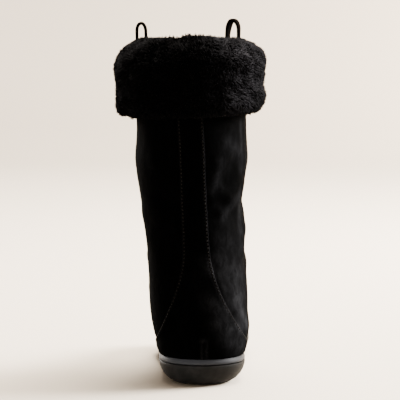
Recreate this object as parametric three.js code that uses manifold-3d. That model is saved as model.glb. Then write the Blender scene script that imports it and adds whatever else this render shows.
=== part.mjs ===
// A tall black suede boot with a turned-down shearling cuff, for the left foot, standing empty on its sole.
// Millimetres. +Z is up, +Y points to the toe, and +X is the inner side of the foot.
// The origin is on the floor, under the centre of the heel.
import * as THREE from 'three';
import { mergeVertices } from 'three/addons/utils/BufferGeometryUtils.js';
import Module from 'manifold-3d';

const wasm = await Module();
wasm.setup();

// The foot
const FOOT_LENGTH = 250; // from the back of the heel to the toe tip, along the upper's lower edge
const HEEL_BEHIND = 35; // from the origin back to the heel's lower edge
const HEEL_WIDTH = 65.6; // of the upper at its lower edge
const BALL_WIDTH = 77.5; // of the upper at its lower edge
const INSTEP_RISE = 108; // from the heel seat up to the bend between the vamp and the shaft

// The leg
const RIM_HEIGHT = 274; // floor to the top edge of the shaft's leather, inside the cuff's roll
const ANKLE_WIDTH = 82; // seen from behind
const CALF_WIDTH = 92; // seen from behind
const CALF_DEPTH = 141; // front to back at the rim
const CALF_SET_BACK = 8; // how far the shaft's back edge at the rim lies behind the heel's lower edge
const LEAN = 10.6; // how far the soft shaft leans to the outer side at the rim

// The layers
const LEATHER = 3; // wall of the upper, suede with its backing
const STAY_LEATHER = 1.3; // back strip and counter, laid on the upper
const GAP = 0.3; // between pieces that touch
const FLAP_AIR = 2; // between the shaft and the cuff's loose flap

// The sole
const HEEL_SEAT = 18.6; // floor to the sole's top under the heel
const FOREFOOT_SEAT = 14.5; // floor to the sole's top under the ball
const TOE_SPRING = 7; // how far the sole's tip stands off the floor
const ARCH_LIFT = 2.6; // how far the waist stands off the floor
const SOLE_MARGIN = 3.7; // how far the sole stands out past the upper's lower edge
const SOLE_BEVEL = 0.9;
const EDGE_ROUND_HEEL = 18.5; // how far the sole's rounded side comes in under the heel
const EDGE_ROUND_TOE = 13;
const GROOVE_WIDTH = 3.4; // of one tread bar's gap
const GROOVE_DEPTH = 2;
const GROOVE_PITCH = 11.5;
const BAND_HEIGHT = 4.6; // rubber band round the upper's lower edge
const BAND_LIP = 1.6; // thickness of the band at its top edge

// The footbed, the cuff and the pull loops
const FOOTBED = 6.5; // thickness of the loose footbed
const CUFF_RISE = 19.5; // from the rim up to the top of the cuff's roll
const CUFF_DROP = 66; // height of the cuff
const CUFF_BULK = 19.6; // how far the fleece stands out from the shaft
const CUFF_INSIDE = 7.5; // thickness of the fleece inside the rim
const CUFF_TILT = 4; // how much higher the cuff's lower edge is on the inner side
const CUFF_LUMP = 0.9; // of the soft swellings in the fleece
const LOOP_STRAP = 2.2; // thickness of the pull loops' strap
const LOOP_STRAP_WIDTH = 7;
const LOOP_SUNK = 13; // how far its legs run down into the cuff's roll
const LOOP_SPREAD_OUTER = 10.1; // over both legs, on the outer side
const LOOP_SPREAD_INNER = 12.2;

// How finely the upper and the rings are cut into facets
const HALF_COLUMNS = 17;
const FOOT_ROWS = 17;
const LEG_ROWS = 13;
const CUFF_COLUMNS = 40;
const CURVE_STEPS = 160;

// Outlines

// A table's rows with a name for each column.
function named(columns, rows) {
  return rows.map((row) => Object.fromEntries(columns.map((name, i) => [name, row[i]])));
}

const mix = (a, b, t) => a + (b - a) * t;
const clamp01 = (t) => Math.min(Math.max(t, 0), 1);

// A smooth curve through the rows of a table, from its column x to its column y.
function curve(table, x, y) {
  const slope = table.map((row, i) => {
    const a = table[Math.max(i - 1, 0)];
    const b = table[Math.min(i + 1, table.length - 1)];
    return (b[y] - a[y]) / (b[x] - a[x]);
  });
  return (at) => {
    if (at <= table[0][x]) return table[0][y];
    if (at >= table[table.length - 1][x]) return table[table.length - 1][y];
    const i = table.findIndex((row) => row[x] > at) - 1;
    const span = table[i + 1][x] - table[i][x];
    const t = (at - table[i][x]) / span;
    const ease = 3 * t ** 2 - 2 * t ** 3;
    const turn = span * ((t ** 3 - 2 * t ** 2 + t) * slope[i] + (t ** 3 - t ** 2) * slope[i + 1]);
    return mix(table[i][y], table[i + 1][y], ease) + turn;
  };
}

// Along the foot: the share of FOOT_LENGTH from the heel's back, as a place on Y.
const along = (share) => share * FOOT_LENGTH - HEEL_BEHIND;
const shareAt = (y) => (y + HEEL_BEHIND) / FOOT_LENGTH;

// The sole seen from the side. seat is 1 at the heel's height and 0 at the forefoot's. spring and arch are
// how much of TOE_SPRING and ARCH_LIFT there is.
const SOLE_SIDE = [
  { share: 0.0, seat: 1.0, spring: 0.0, arch: 0.0 },
  { share: 0.26, seat: 0.97, spring: 0.0, arch: 0.0 },
  { share: 0.34, seat: 0.86, spring: 0.0, arch: 0.8 },
  { share: 0.44, seat: 0.6, spring: 0.0, arch: 1.0 },
  { share: 0.54, seat: 0.28, spring: 0.0, arch: 0.7 },
  { share: 0.62, seat: 0.08, spring: 0.0, arch: 0.0 },
  { share: 0.8, seat: 0.0, spring: 0.0, arch: 0.0 },
  { share: 0.88, seat: 0.0, spring: 0.16, arch: 0.0 },
  { share: 0.95, seat: 0.0, spring: 0.55, arch: 0.0 },
  { share: 1.02, seat: 0.0, spring: 1.0, arch: 0.0 },
];
const seatShare = curve(SOLE_SIDE, 'share', 'seat');
const springShare = curve(SOLE_SIDE, 'share', 'spring');
const archShare = curve(SOLE_SIDE, 'share', 'arch');
const soleTop = (y) =>
  mix(FOREFOOT_SEAT, HEEL_SEAT, seatShare(shareAt(y))) + TOE_SPRING * springShare(shareAt(y));
const soleBottom = (y) => {
  const lift = TOE_SPRING * springShare(shareAt(y)) + ARCH_LIFT * archShare(shareAt(y));
  return lift > 0.02 ? lift : 0;
};
const feather = (y) => soleTop(y) + GAP; // the upper's lower edge

// The upper's lower edge from above, from the heel to the joints of the toes. ball mixes the heel's and
// the ball's widths, and outer and inner are shares of half of that.
const PLAN = [
  { share: 0.06, ball: 0.0, outer: 0.8, inner: 0.8 },
  { share: 0.14, ball: 0.0, outer: 1.0, inner: 1.0 },
  { share: 0.25, ball: 0.2, outer: 0.985, inner: 0.95 },
  { share: 0.38, ball: 0.6, outer: 0.925, inner: 0.8 },
  { share: 0.5, ball: 0.9, outer: 0.92, inner: 0.81 },
  { share: 0.62, ball: 1.0, outer: 0.985, inner: 0.92 },
  { share: 0.7, ball: 1.0, outer: 1.01, inner: 0.98 },
  { share: 0.78, ball: 1.0, outer: 0.98, inner: 0.99 },
];
const HEEL_ARC = 0.14; // share of the foot's length in the heel's rounded back
const planBall = curve(PLAN, 'share', 'ball');
const planOuter = curve(PLAN, 'share', 'outer');
const planInner = curve(PLAN, 'share', 'inner');
function planHalf(share, width) {
  const across = mix(HEEL_WIDTH, BALL_WIDTH, planBall(share)) / 2;
  if (share >= HEEL_ARC) return across * width(share);
  const back = 1 - Math.max(share, 0) / HEEL_ARC;
  return (HEEL_WIDTH / 2) * Math.sqrt(1 - back ** 2.15);
}

// The boot seen from behind. height is 0 at the heel seat and 1 at the rim, lean is a share of LEAN, calf
// mixes the ankle's and the calf's widths, and outer and inner are shares of half of that.
const BACK_VIEW = named(
  ['height', 'lean', 'calf', 'outer', 'inner'],
  [
    [0.0, 0.0, 0.0, 0.9, 0.9],
    [0.1, 0.06, 0.0, 0.955, 0.945],
    [0.2, 0.24, 0.0, 1.022, 1.006],
    [0.32, 0.36, 0.0, 1.029, 0.993],
    [0.385, 0.44, 0.0, 1.034, 0.968],
    [0.43, 0.52, 0.1, 1.033, 1.003],
    [0.465, 0.58, 0.2, 1.047, 1.027],
    [0.505, 0.68, 0.4, 1.028, 0.960],
    [0.545, 0.8, 0.7, 0.974, 0.936],
    [0.6, 0.86, 0.9, 1.009, 0.977],
    [0.66, 0.86, 1.0, 1.045, 1.039],
    [0.74, 0.86, 1.0, 1.018, 1.024],
    [0.82, 0.86, 1.0, 1.017, 1.001],
    [0.92, 0.92, 1.0, 1.032, 1.016],
    [1.0, 1.0, 1.0, 1.032, 1.016],
  ],
);
const heightShare = (z) => (z - HEEL_SEAT) / (RIM_HEIGHT - HEEL_SEAT);
const leanShare = curve(BACK_VIEW, 'height', 'lean');
const calfShare = curve(BACK_VIEW, 'height', 'calf');
const outerShare = curve(BACK_VIEW, 'height', 'outer');
const innerShare = curve(BACK_VIEW, 'height', 'inner');
const middleAt = (z) => -LEAN * leanShare(heightShare(z));
function legHalf(z, sideShare) {
  return (mix(ANKLE_WIDTH, CALF_WIDTH, calfShare(heightShare(z))) / 2) * sideShare(heightShare(z));
}

// The sections that the upper is lofted through, fanned about the front of the ankle, from the toe to the
// rim. Each has two ends. The upper one is on the ridge, down the middle of the vamp or the front of the
// leg. The lower one is at the sole, where the section is open, or on the back seam, where it is closed.
// Open sections: base is where the lower end stands and front where the ridge does, as shares of the
// foot's length, and top is the ridge's height as a share of INSTEP_RISE. bulge is how far the side swells
// past the lower edge, as a share of the heel's width, and leg blends that into the back view. ridge is
// the ridge's way to the inner side, as a share of BALL_WIDTH. widest is where the section is widest, from
// 0 at the ridge to 1 at its lower end, and round and close are the exponents of its two halves. Closed
// sections: rise is the height on the back seam, and climb the height on the ridge above the instep, both
// 1 at the rim. back and front are places on Y, from 0 at the back of the rim to 1 at its front.
const FOOT_SECTIONS = named(
  ['base', 'front', 'top', 'bulge', 'leg', 'widest', 'round', 'close', 'ridge'],
  [
    [0.72, 1.0, 0.0, 0.0, 0, 0.98, 2.3, 2.0, 0.13],
    [0.712, 1.006, 0.085, 0.01, 0, 0.9, 2.3, 2.0, 0.13],
    [0.7, 1.001, 0.19, 0.016, 0, 0.84, 2.35, 2.0, 0.128],
    [0.685, 0.978, 0.285, 0.02, 0, 0.79, 2.4, 2.0, 0.124],
    [0.665, 0.938, 0.355, 0.022, 0, 0.76, 2.42, 2.0, 0.118],
    [0.64, 0.886, 0.405, 0.036, 0, 0.74, 2.4, 2.0, 0.11],
    [0.605, 0.826, 0.45, 0.042, 0, 0.72, 2.35, 2.05, 0.1],
    [0.56, 0.764, 0.502, 0.048, 0.02, 0.71, 2.3, 2.1, 0.085],
    [0.5, 0.703, 0.572, 0.054, 0.06, 0.7, 2.22, 2.15, 0.065],
    [0.43, 0.648, 0.662, 0.06, 0.16, 0.68, 2.15, 2.2, 0.042],
    [0.35, 0.602, 0.764, 0.06, 0.4, 0.66, 2.1, 2.25, 0.02],
    [0.26, 0.567, 0.866, 0.06, 0.7, 0.63, 2.08, 2.3, 0.0],
    [0.165, 0.538, 0.958, 0.06, 0.9, 0.6, 2.06, 2.35, -0.012],
    [0.08, 0.518, 1.036, 0.06, 1, 0.57, 2.05, 2.35, -0.02],
    [0.025, 0.504, 1.096, 0.06, 1, 0.55, 2.05, 2.35, -0.026],
    [0.004, 0.496, 1.145, 0.06, 1, 0.54, 2.05, 2.35, -0.03],
  ],
);
const LEG_SECTIONS = named(
  ['rise', 'back', 'front', 'climb', 'widest', 'round', 'close'],
  [
    [0.0, 0.057, 0.933, 0.122, 0.535, 2.05, 2.35],
    [0.05, 0.04, 0.929, 0.165, 0.53, 2.05, 2.35],
    [0.11, 0.031, 0.929, 0.215, 0.525, 2.05, 2.3],
    [0.18, 0.038, 0.931, 0.27, 0.52, 2.05, 2.25],
    [0.26, 0.062, 0.936, 0.335, 0.515, 2.05, 2.2],
    [0.35, 0.078, 0.945, 0.41, 0.51, 2.05, 2.15],
    [0.45, 0.08, 0.957, 0.495, 0.505, 2.05, 2.12],
    [0.56, 0.064, 0.972, 0.59, 0.5, 2.05, 2.1],
    [0.68, 0.04, 0.986, 0.7, 0.5, 2.05, 2.1],
    [0.82, 0.018, 0.998, 0.83, 0.5, 2.05, 2.1],
    [1.0, 0.0, 1.0, 1.0, 0.5, 2.05, 2.1],
  ],
);
const instepTop = HEEL_SEAT + INSTEP_RISE;
const calfBack = -HEEL_BEHIND - CALF_SET_BACK;

// One section as real sizes: its ridge and its lower or back end, each [x, y, z], and its half widths.
function footSection(at) {
  const value = (name) => curve(FOOT_CURVES, 'at', name)(at);
  const base = value('base');
  const y = along(value('front'));
  const z = mix(feather(y), instepTop, value('top'));
  const baseY = along(base);
  const foot = {
    outer: planHalf(base, planOuter),
    inner: planHalf(base, planInner),
  };
  const widest = value('widest');
  const widestZ = mix(z, feather(baseY), widest);
  const leg = clamp01(value('leg'));
  const swell = value('bulge') * HEEL_WIDTH;
  const leanAt = mix(0, middleAt(widestZ), leg);
  return {
    ridge: [BALL_WIDTH * value('ridge') + leg * middleAt(z), y, z],
    end: [(foot.inner - foot.outer) / 2, baseY, feather(baseY)],
    half: (foot.outer + foot.inner) / 2,
    outer: mix((foot.outer + foot.inner) / 2 + swell, legHalf(widestZ, outerShare), leg),
    inner: mix((foot.outer + foot.inner) / 2 + swell, legHalf(widestZ, innerShare), leg),
    lean: leanAt,
    widest,
    round: value('round'),
    close: value('close'),
  };
}
const FOOT_CURVES = FOOT_SECTIONS.map((row, i) => ({ ...row, at: i / (FOOT_SECTIONS.length - 1) }));
const LEG_CURVES = LEG_SECTIONS.map((row, i) => ({ ...row, at: i / (LEG_SECTIONS.length - 1) }));

function legSection(at) {
  const value = (name) => curve(LEG_CURVES, 'at', name)(at);
  const z = mix(instepTop, RIM_HEIGHT, value('climb'));
  const backZ = mix(feather(-HEEL_BEHIND), RIM_HEIGHT, value('rise'));
  const widest = value('widest');
  const widestZ = mix(z, backZ, widest);
  return {
    ridge: [middleAt(z), calfBack + CALF_DEPTH * value('front'), z],
    end: [middleAt(backZ), calfBack + CALF_DEPTH * value('back'), backZ],
    half: 0,
    outer: legHalf(widestZ, outerShare),
    inner: legHalf(widestZ, innerShare),
    lean: middleAt(widestZ),
    widest,
    round: value('round'),
    close: value('close'),
  };
}

// A section's points on one side, from the ridge to its end, evenly spaced. side is -1 outer or 1 inner.
function halfSection(section, side, columns) {
  const width = side < 0 ? section.outer : section.inner;
  const shut = Math.min(section.half / width, 1) ** (section.close / 2);
  const last = Math.PI - Math.asin(shut);
  const closing = Math.max(Math.abs(Math.cos(last)) ** (2 / section.close), 1e-6);
  const fine = [];
  for (let i = 0; i <= CURVE_STEPS; i++) {
    const angle = (last * i) / CURVE_STEPS;
    const front = angle <= Math.PI / 2;
    const power = 2 / (front ? section.round : section.close);
    const lift = Math.abs(Math.cos(angle)) ** power;
    const out = Math.max(Math.sin(angle), 0) ** power;
    const down = front
      ? section.widest * (1 - lift)
      : section.widest + (1 - section.widest) * (shut < 1 ? lift / closing : 1);
    const x = mix(section.ridge[0], section.end[0], down);
    const straight = mix(section.ridge[0], section.end[0], section.widest);
    const bend = (section.lean - straight) * out;
    fine.push(
      new THREE.Vector3(
        x + (section.half > 0 ? bend * (1 - down) : bend) + side * width * out,
        mix(section.ridge[1], section.end[1], down),
        mix(section.ridge[2], section.end[2], down),
      ),
    );
  }
  const length = [0];
  for (let i = 1; i < fine.length; i++) length.push(length[i - 1] + fine[i].distanceTo(fine[i - 1]));
  const points = [];
  let k = 1;
  for (let j = 0; j <= columns; j++) {
    const want = (length[length.length - 1] * j) / columns;
    while (k < fine.length - 1 && length[k] < want) k++;
    const t = clamp01((want - length[k - 1]) / (length[k] - length[k - 1]));
    points.push(fine[k - 1].clone().lerp(fine[k], t));
  }
  return points;
}

// Sheets and solids

// The upper as a sheet of points and faces, row by row from the toe to the rim. Each row runs from the
// lower edge of the outer side, or the back seam, over the ridge to the inner side.
function upperSheet() {
  const rows = [];
  for (let i = 0; i < FOOT_ROWS; i++) rows.push(footSection(i / FOOT_ROWS));
  for (let i = 0; i <= LEG_ROWS; i++) rows.push(legSection(i / LEG_ROWS));
  const points = [];
  const grid = rows.map((section, i) => {
    const outer = halfSection(section, -1, HALF_COLUMNS).reverse();
    const inner = halfSection(section, 1, HALF_COLUMNS).slice(1);
    const line = [...outer, ...inner];
    if (i === 0) line.forEach((p) => (p.z = feather(p.y)));
    const closed = section.half === 0;
    return line.map((p, j) => {
      if (closed && j === line.length - 1) return points.length - line.length + 1;
      points.push(p);
      return points.length - 1;
    });
  });
  const faces = [];
  for (let i = 0; i + 1 < grid.length; i++)
    for (let j = 0; j + 1 < grid[i].length; j++) {
      const [a, b, c, d] = [grid[i][j], grid[i][j + 1], grid[i + 1][j + 1], grid[i + 1][j]];
      // The two sides are cut along mirrored diagonals.
      if (j < HALF_COLUMNS) faces.push([a, c, b], [a, d, c]);
      else faces.push([a, d, b], [b, d, c]);
    }
  // Its two open edges, each anticlockwise seen from above and starting at the back.
  const toe = [...grid[0]].reverse();
  const bases = grid.slice(1, FOOT_ROWS);
  const soleLoop = [
    grid[FOOT_ROWS][0],
    ...bases.map((row) => row[row.length - 1]).reverse(),
    ...toe,
    ...bases.map((row) => row[0]),
  ];
  const rimLoop = grid[grid.length - 1].slice(1).reverse();
  return { points, faces, soleLoop, rimLoop };
}

function normalsOf({ points, faces }) {
  const normals = points.map(() => new THREE.Vector3());
  for (const [a, b, c] of faces) {
    const face = new THREE.Vector3()
      .subVectors(points[b], points[a])
      .cross(new THREE.Vector3().subVectors(points[c], points[a]));
    [a, b, c].forEach((v) => normals[v].add(face));
  }
  normals.forEach((n) => n.normalize());
  return normals;
}

const shell = upperSheet();
const shellNormals = normalsOf(shell);

// The upper's lower edge from the back of the heel, with the direction straight out of it at each point.
const soleEdge = shell.soleLoop.map((i) => shell.points[i]);
const edgeOut = soleEdge.map((p, i) => {
  const before = soleEdge[(i + soleEdge.length - 1) % soleEdge.length];
  const after = soleEdge[(i + 1) % soleEdge.length];
  return new THREE.Vector3(after.y - before.y, before.x - after.x, 0).normalize();
});
function edgeRing(out, height) {
  return soleEdge.map((p, i) => {
    const moved = p.clone().addScaledVector(edgeOut[i], out);
    moved.z = height(moved.y);
    return moved;
  });
}

// The upper's sheet moved out by a distance. Its lower edge slides along the sole and its rim keeps its
// height.
function movedOut(distance, raise = 0) {
  const points = shell.points.map((p, i) => p.clone().addScaledVector(shellNormals[i], distance));
  const edge = edgeRing(distance, feather);
  shell.soleLoop.forEach((i, k) => points[i].copy(edge[k]));
  shell.rimLoop.forEach((i) => {
    points[i].z = shell.points[i].z + raise;
  });
  return points;
}

function geometryOf(points, faces) {
  const geometry = new THREE.BufferGeometry();
  const numbers = points.flatMap((p) => [p.x, p.y, p.z]);
  geometry.setAttribute('position', new THREE.Float32BufferAttribute(numbers, 3));
  geometry.setIndex(faces.flat());
  return geometry;
}

// A wall between two copies of the upper's sheet, closed at its lower edge and its rim.
function wallBetween(outside, inside) {
  const n = outside.length;
  const faces = shell.faces.flatMap(([a, b, c]) => [
    [a, b, c],
    [a + n, c + n, b + n],
  ]);
  const { soleLoop, rimLoop } = shell;
  soleLoop.forEach((a, i) => {
    const b = soleLoop[(i + 1) % soleLoop.length];
    faces.push([b, a, a + n], [b, a + n, b + n]);
  });
  rimLoop.forEach((a, i) => {
    const b = rimLoop[(i + 1) % rimLoop.length];
    faces.push([a, b, b + n], [a, b + n, a + n]);
  });
  return geometryOf([...outside, ...inside], faces);
}

// A lid over a loop that is anticlockwise from above and starts at the back, in strips from side to side.
function lid(loop, up) {
  const n = loop.length;
  const faces = [];
  for (let k = 0; k < n / 2; k++) {
    const [a, b, c, d] = [loop[k], loop[k + 1], loop[n - k - 1], loop[(n - k) % n]];
    if (b !== c) faces.push(up ? [a, b, c] : [a, c, b]);
    if (a !== d) faces.push(up ? [a, c, d] : [a, d, c]);
  }
  return faces;
}

// The form that a copy of the sheet encloses, filled.
function filledForm(outside) {
  return geometryOf(outside, [...shell.faces, ...lid(shell.soleLoop, false), ...lid(shell.rimLoop, true)]);
}

// A closed tube of rings, each a list of points in the same order. Its ends have lids, or are joined to
// each other.
function tubeOfRings(rings, joined = false) {
  const columns = rings[0].length;
  const faces = [];
  const last = joined ? rings.length : rings.length - 1;
  for (let i = 0; i < last; i++)
    for (let j = 0; j < columns; j++) {
      const k = (j + 1) % columns;
      const [a, b] = [i * columns + j, i * columns + k];
      const [c, d] = [((i + 1) % rings.length) * columns + k, ((i + 1) % rings.length) * columns + j];
      faces.push([a, b, c], [a, c, d]);
    }
  if (!joined) {
    const ring = (i) => rings[i].map((p, j) => i * columns + j);
    faces.push(...lid(ring(0), false), ...lid(ring(rings.length - 1), true));
  }
  return geometryOf(rings.flat(), faces);
}

function toSolid(geometry) {
  const bare = geometry.index ? geometry.toNonIndexed() : geometry.clone();
  bare.deleteAttribute('normal');
  bare.deleteAttribute('uv');
  const merged = mergeVertices(bare, 1e-4);
  const mesh = new wasm.Mesh({
    numProp: 3,
    vertProperties: new Float32Array(merged.attributes.position.array),
    triVerts: new Uint32Array(merged.index.array),
  });
  return new wasm.Manifold(mesh);
}

function fromSolid(solid) {
  const mesh = solid.getMesh();
  const geometry = new THREE.BufferGeometry();
  geometry.setAttribute('position', new THREE.BufferAttribute(mesh.vertProperties, 3));
  geometry.setIndex(new THREE.BufferAttribute(mesh.triVerts, 1));
  return geometry;
}

// Outsole: one moulded unit, rounded in under its edge all round, with a waist that stands off the floor.
const EDGE_LEVELS = [0.14, 0.36, 0.57, 0.74, 0.87, 0.95, 0.99, 1];
function outsole() {
  const roundAt = (y) => mix(EDGE_ROUND_HEEL, EDGE_ROUND_TOE, clamp01(shareAt(y)));
  const level = (down) =>
    soleEdge.map((p, i) => {
      const inward = roundAt(p.y) * (1 - Math.sqrt(1 - down ** 2));
      const moved = p.clone().addScaledVector(edgeOut[i], SOLE_MARGIN - inward);
      moved.z = mix(soleTop(moved.y), soleBottom(moved.y), down);
      return moved;
    });
  const rings = [
    ...EDGE_LEVELS.map(level).reverse(),
    edgeRing(SOLE_MARGIN, (y) => soleTop(y) - SOLE_BEVEL),
    edgeRing(SOLE_MARGIN - SOLE_BEVEL, soleTop),
  ];
  let body = toSolid(tubeOfRings(rings));
  const bar = (y) =>
    toSolid(new THREE.BoxGeometry(2 * BALL_WIDTH, GROOVE_WIDTH, 2 * GROOVE_DEPTH).translate(0, y, 0));
  for (const side of [1, -1])
    for (let y = GROOVE_PITCH; Math.abs(y - GROOVE_PITCH) < FOOT_LENGTH; y += GROOVE_PITCH) {
      const place = side * y;
      const share = shareAt(place);
      const tread = (share > 0.06 && share < 0.27) || (share > 0.6 && share < 0.82);
      if (tread) body = body.subtract(bar(place));
    }
  return fromSolid(body);
}

// Band: the rubber strip that closes the joint between the sole and the upper. It leans in to a thin top
// edge.
const filledClear = toSolid(filledForm(movedOut(GAP))).add(
  toSolid(tubeOfRings([edgeRing(GAP, (y) => feather(y) - BAND_HEIGHT), edgeRing(GAP, feather)])),
);
function band() {
  const inside = -LEATHER / 2;
  const section = [
    [inside, 0],
    [SOLE_MARGIN - SOLE_BEVEL, 0],
    [SOLE_MARGIN, SOLE_BEVEL / 2],
    [mix(SOLE_MARGIN, BAND_LIP, 0.35), mix(0, BAND_HEIGHT, 0.6)],
    [BAND_LIP + GAP, BAND_HEIGHT],
    [inside, BAND_HEIGHT],
  ];
  const rings = section.map(([out, up]) => edgeRing(out, (y) => feather(y) + up));
  return fromSolid(toSolid(tubeOfRings(rings, true)).subtract(filledClear));
}

// Footbed: the loose fleece-topped insole, lying on the sole inside the upper.
function footbed() {
  const inset = -(LEATHER + 2 * GAP);
  const edge = 1.5;
  return tubeOfRings([
    edgeRing(inset - edge, feather),
    edgeRing(inset, (y) => feather(y) + edge),
    edgeRing(inset, (y) => feather(y) + FOOTBED - edge),
    edgeRing(inset - edge, (y) => feather(y) + FOOTBED),
  ]);
}

// Back stay: one piece of suede laid on the upper, a narrow strip up the back that spreads into the heel
// counter. Its outline is drawn from behind and pushed forwards and down through the heel. half is a share
// of half the ankle's width, set is how far it leans as a share of LEAN, and height is from 0 at the heel
// seat to 1 at the rim.
const STAY_OUTLINE = [
  { height: -0.35, half: 2.1, set: 0.0 },
  { height: 0.04, half: 1.3, set: 0.02 },
  { height: 0.11, half: 0.9, set: 0.12 },
  { height: 0.156, half: 0.72, set: 0.22 },
  { height: 0.204, half: 0.571, set: 0.31 },
  { height: 0.239, half: 0.483, set: 0.35 },
  { height: 0.293, half: 0.376, set: 0.41 },
  { height: 0.349, half: 0.3, set: 0.44 },
  { height: 0.4, half: 0.25, set: 0.5 },
  { height: 0.46, half: 0.24, set: 0.58 },
  { height: 0.592, half: 0.24, set: 0.73 },
  { height: 0.693, half: 0.24, set: 0.81 },
  { height: 0.83, half: 0.24, set: 0.97 },
];
const STAY_SLOPE = 0.27; // how much the outline falls for each millimetre forwards
const STAY_BEHIND = 45; // how far behind the heel's lower edge the cut starts
const STAY_REACH = 105;
const stayHalf = curve(STAY_OUTLINE, 'height', 'half');
const staySet = curve(STAY_OUTLINE, 'height', 'set');
function backStay() {
  const low = STAY_OUTLINE[0].height;
  const high = STAY_OUTLINE[STAY_OUTLINE.length - 1].height;
  const steps = 26;
  const sideLine = (side) =>
    Array.from({ length: steps + 1 }, (_, i) => {
      const height = mix(low, high, i / steps);
      const z = mix(HEEL_SEAT, RIM_HEIGHT, height);
      return new THREE.Vector2((side * stayHalf(height) * ANKLE_WIDTH) / 2 - LEAN * staySet(height), z);
    });
  const outline = new THREE.Shape([...sideLine(1), ...sideLine(-1).reverse()]);
  const prism = new THREE.ExtrudeGeometry(outline, { depth: STAY_REACH, bevelEnabled: false });
  // The outline stands upright, is true at the heel's back, and falls by the slope with each step forwards.
  const stand = new THREE.Matrix4().set(1, 0, 0, 0, 0, 0, -1, 0, 0, 1, STAY_SLOPE, 0, 0, 0, 0, 1);
  prism.applyMatrix4(stand);
  const front = STAY_REACH - HEEL_BEHIND - STAY_BEHIND;
  prism.translate(0, front, -STAY_SLOPE * (front + HEEL_BEHIND));
  const layer = toSolid(wallBetween(movedOut(GAP + STAY_LEATHER), movedOut(GAP)));
  const bandTop = toSolid(
    tubeOfRings([
      edgeRing(2 * SOLE_MARGIN, (y) => feather(y) - BAND_HEIGHT),
      edgeRing(2 * SOLE_MARGIN, (y) => feather(y) + BAND_HEIGHT + GAP),
    ]),
  );
  const stay = layer.intersect(toSolid(prism)).subtract(bandTop);
  const pieces = stay.decompose().sort((a, b) => b.volume() - a.volume());
  return fromSolid(pieces[0]);
}

// Cuff: the top of the shaft turned down, fleece outwards. Its section is an arch over the rim, a little
// different on the boot's outer and inner sides. Those two columns are shares of CUFF_BULK beyond the
// shaft's face, or of CUFF_INSIDE within its wall where they are below 0, and down is a share of the
// cuff's height from its top.
const CUFF_SECTION = [
  { down: 0.985, outer: 0.02, inner: 0.02 },
  { down: 1.0, outer: 0.25, inner: 0.15 },
  { down: 0.992, outer: 0.6, inner: 0.45 },
  { down: 0.95, outer: 0.79, inner: 0.67 },
  { down: 0.88, outer: 0.88, inner: 0.8 },
  { down: 0.79, outer: 0.87, inner: 0.87 },
  { down: 0.69, outer: 0.82, inner: 0.86 },
  { down: 0.6, outer: 0.86, inner: 0.74 },
  { down: 0.52, outer: 0.94, inner: 0.785 },
  { down: 0.43, outer: 0.97, inner: 0.9 },
  { down: 0.34, outer: 0.91, inner: 0.98 },
  { down: 0.25, outer: 0.79, inner: 0.92 },
  { down: 0.165, outer: 0.54, inner: 0.735 },
  { down: 0.09, outer: 0.19, inner: 0.475 },
  { down: 0.035, outer: -0.13, inner: 0.16 },
  { down: 0.005, outer: -0.3, inner: 0.02 },
  { down: 0.012, outer: -0.7, inner: -0.5 },
  { down: 0.09, outer: -1.0, inner: -0.95 },
  { down: 0.22, outer: -1.05, inner: -1.05 },
  { down: 0.4, outer: -1.0, inner: -1.0 },
  { down: 0.47, outer: -0.7, inner: -0.7 },
  { down: 0.47, outer: -0.1, inner: -0.1 },
];
const cuffTop = RIM_HEIGHT + CUFF_RISE;
function rimRing(out, height) {
  const section = legSection(1);
  const ring = [-1, 1].map((side) => halfSection(section, side, CUFF_COLUMNS / 2));
  const loop = [...ring[0], ...ring[1].reverse().slice(1, -1)];
  return loop.map((p, i) => {
    const before = loop[(i + loop.length - 1) % loop.length];
    const after = loop[(i + 1) % loop.length];
    const level = new THREE.Vector3(after.y - before.y, before.x - after.x, 0).normalize();
    const turn = (2 * Math.PI * i) / loop.length;
    const moved = p.clone().addScaledVector(level, out(turn));
    moved.x += middleAt(height(turn, p)) - middleAt(RIM_HEIGHT);
    moved.z = height(turn, p);
    return moved;
  });
}
function cuff() {
  const rings = CUFF_SECTION.map(({ down, outer, inner }, k) => {
    const lump = (turn) => CUFF_LUMP * (Math.sin(5 * turn + 2 * k) + Math.sin(9 * turn - 1.3 * k + 1));
    return rimRing(
      (turn) => {
        const share = mix(outer, inner, 0.5 - Math.sin(turn) / 2);
        const out = share > 0 ? share * CUFF_BULK : share * CUFF_INSIDE - LEATHER * clamp01(-3 * share);
        return out + (share > 0.3 ? lump(turn) : 0);
      },
      (turn, p) => {
        const tilt = (CUFF_TILT * (p.x - middleAt(RIM_HEIGHT)) * down) / CALF_WIDTH;
        const crest = down < 0.1 && outer > -0.6 ? lump(turn) / 2 : 0;
        return cuffTop - down * CUFF_DROP + tilt + crest;
      },
    );
  });
  const wall = toSolid(wallBetween(movedOut(FLAP_AIR, GAP), movedOut(-LEATHER - GAP, GAP)));
  let body = toSolid(tubeOfRings(rings, true)).subtract(wall);
  for (const side of LOOP_SIDES) body = body.subtract(toSolid(pullLoop(side, GAP)));
  return fromSolid(body);
}

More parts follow.
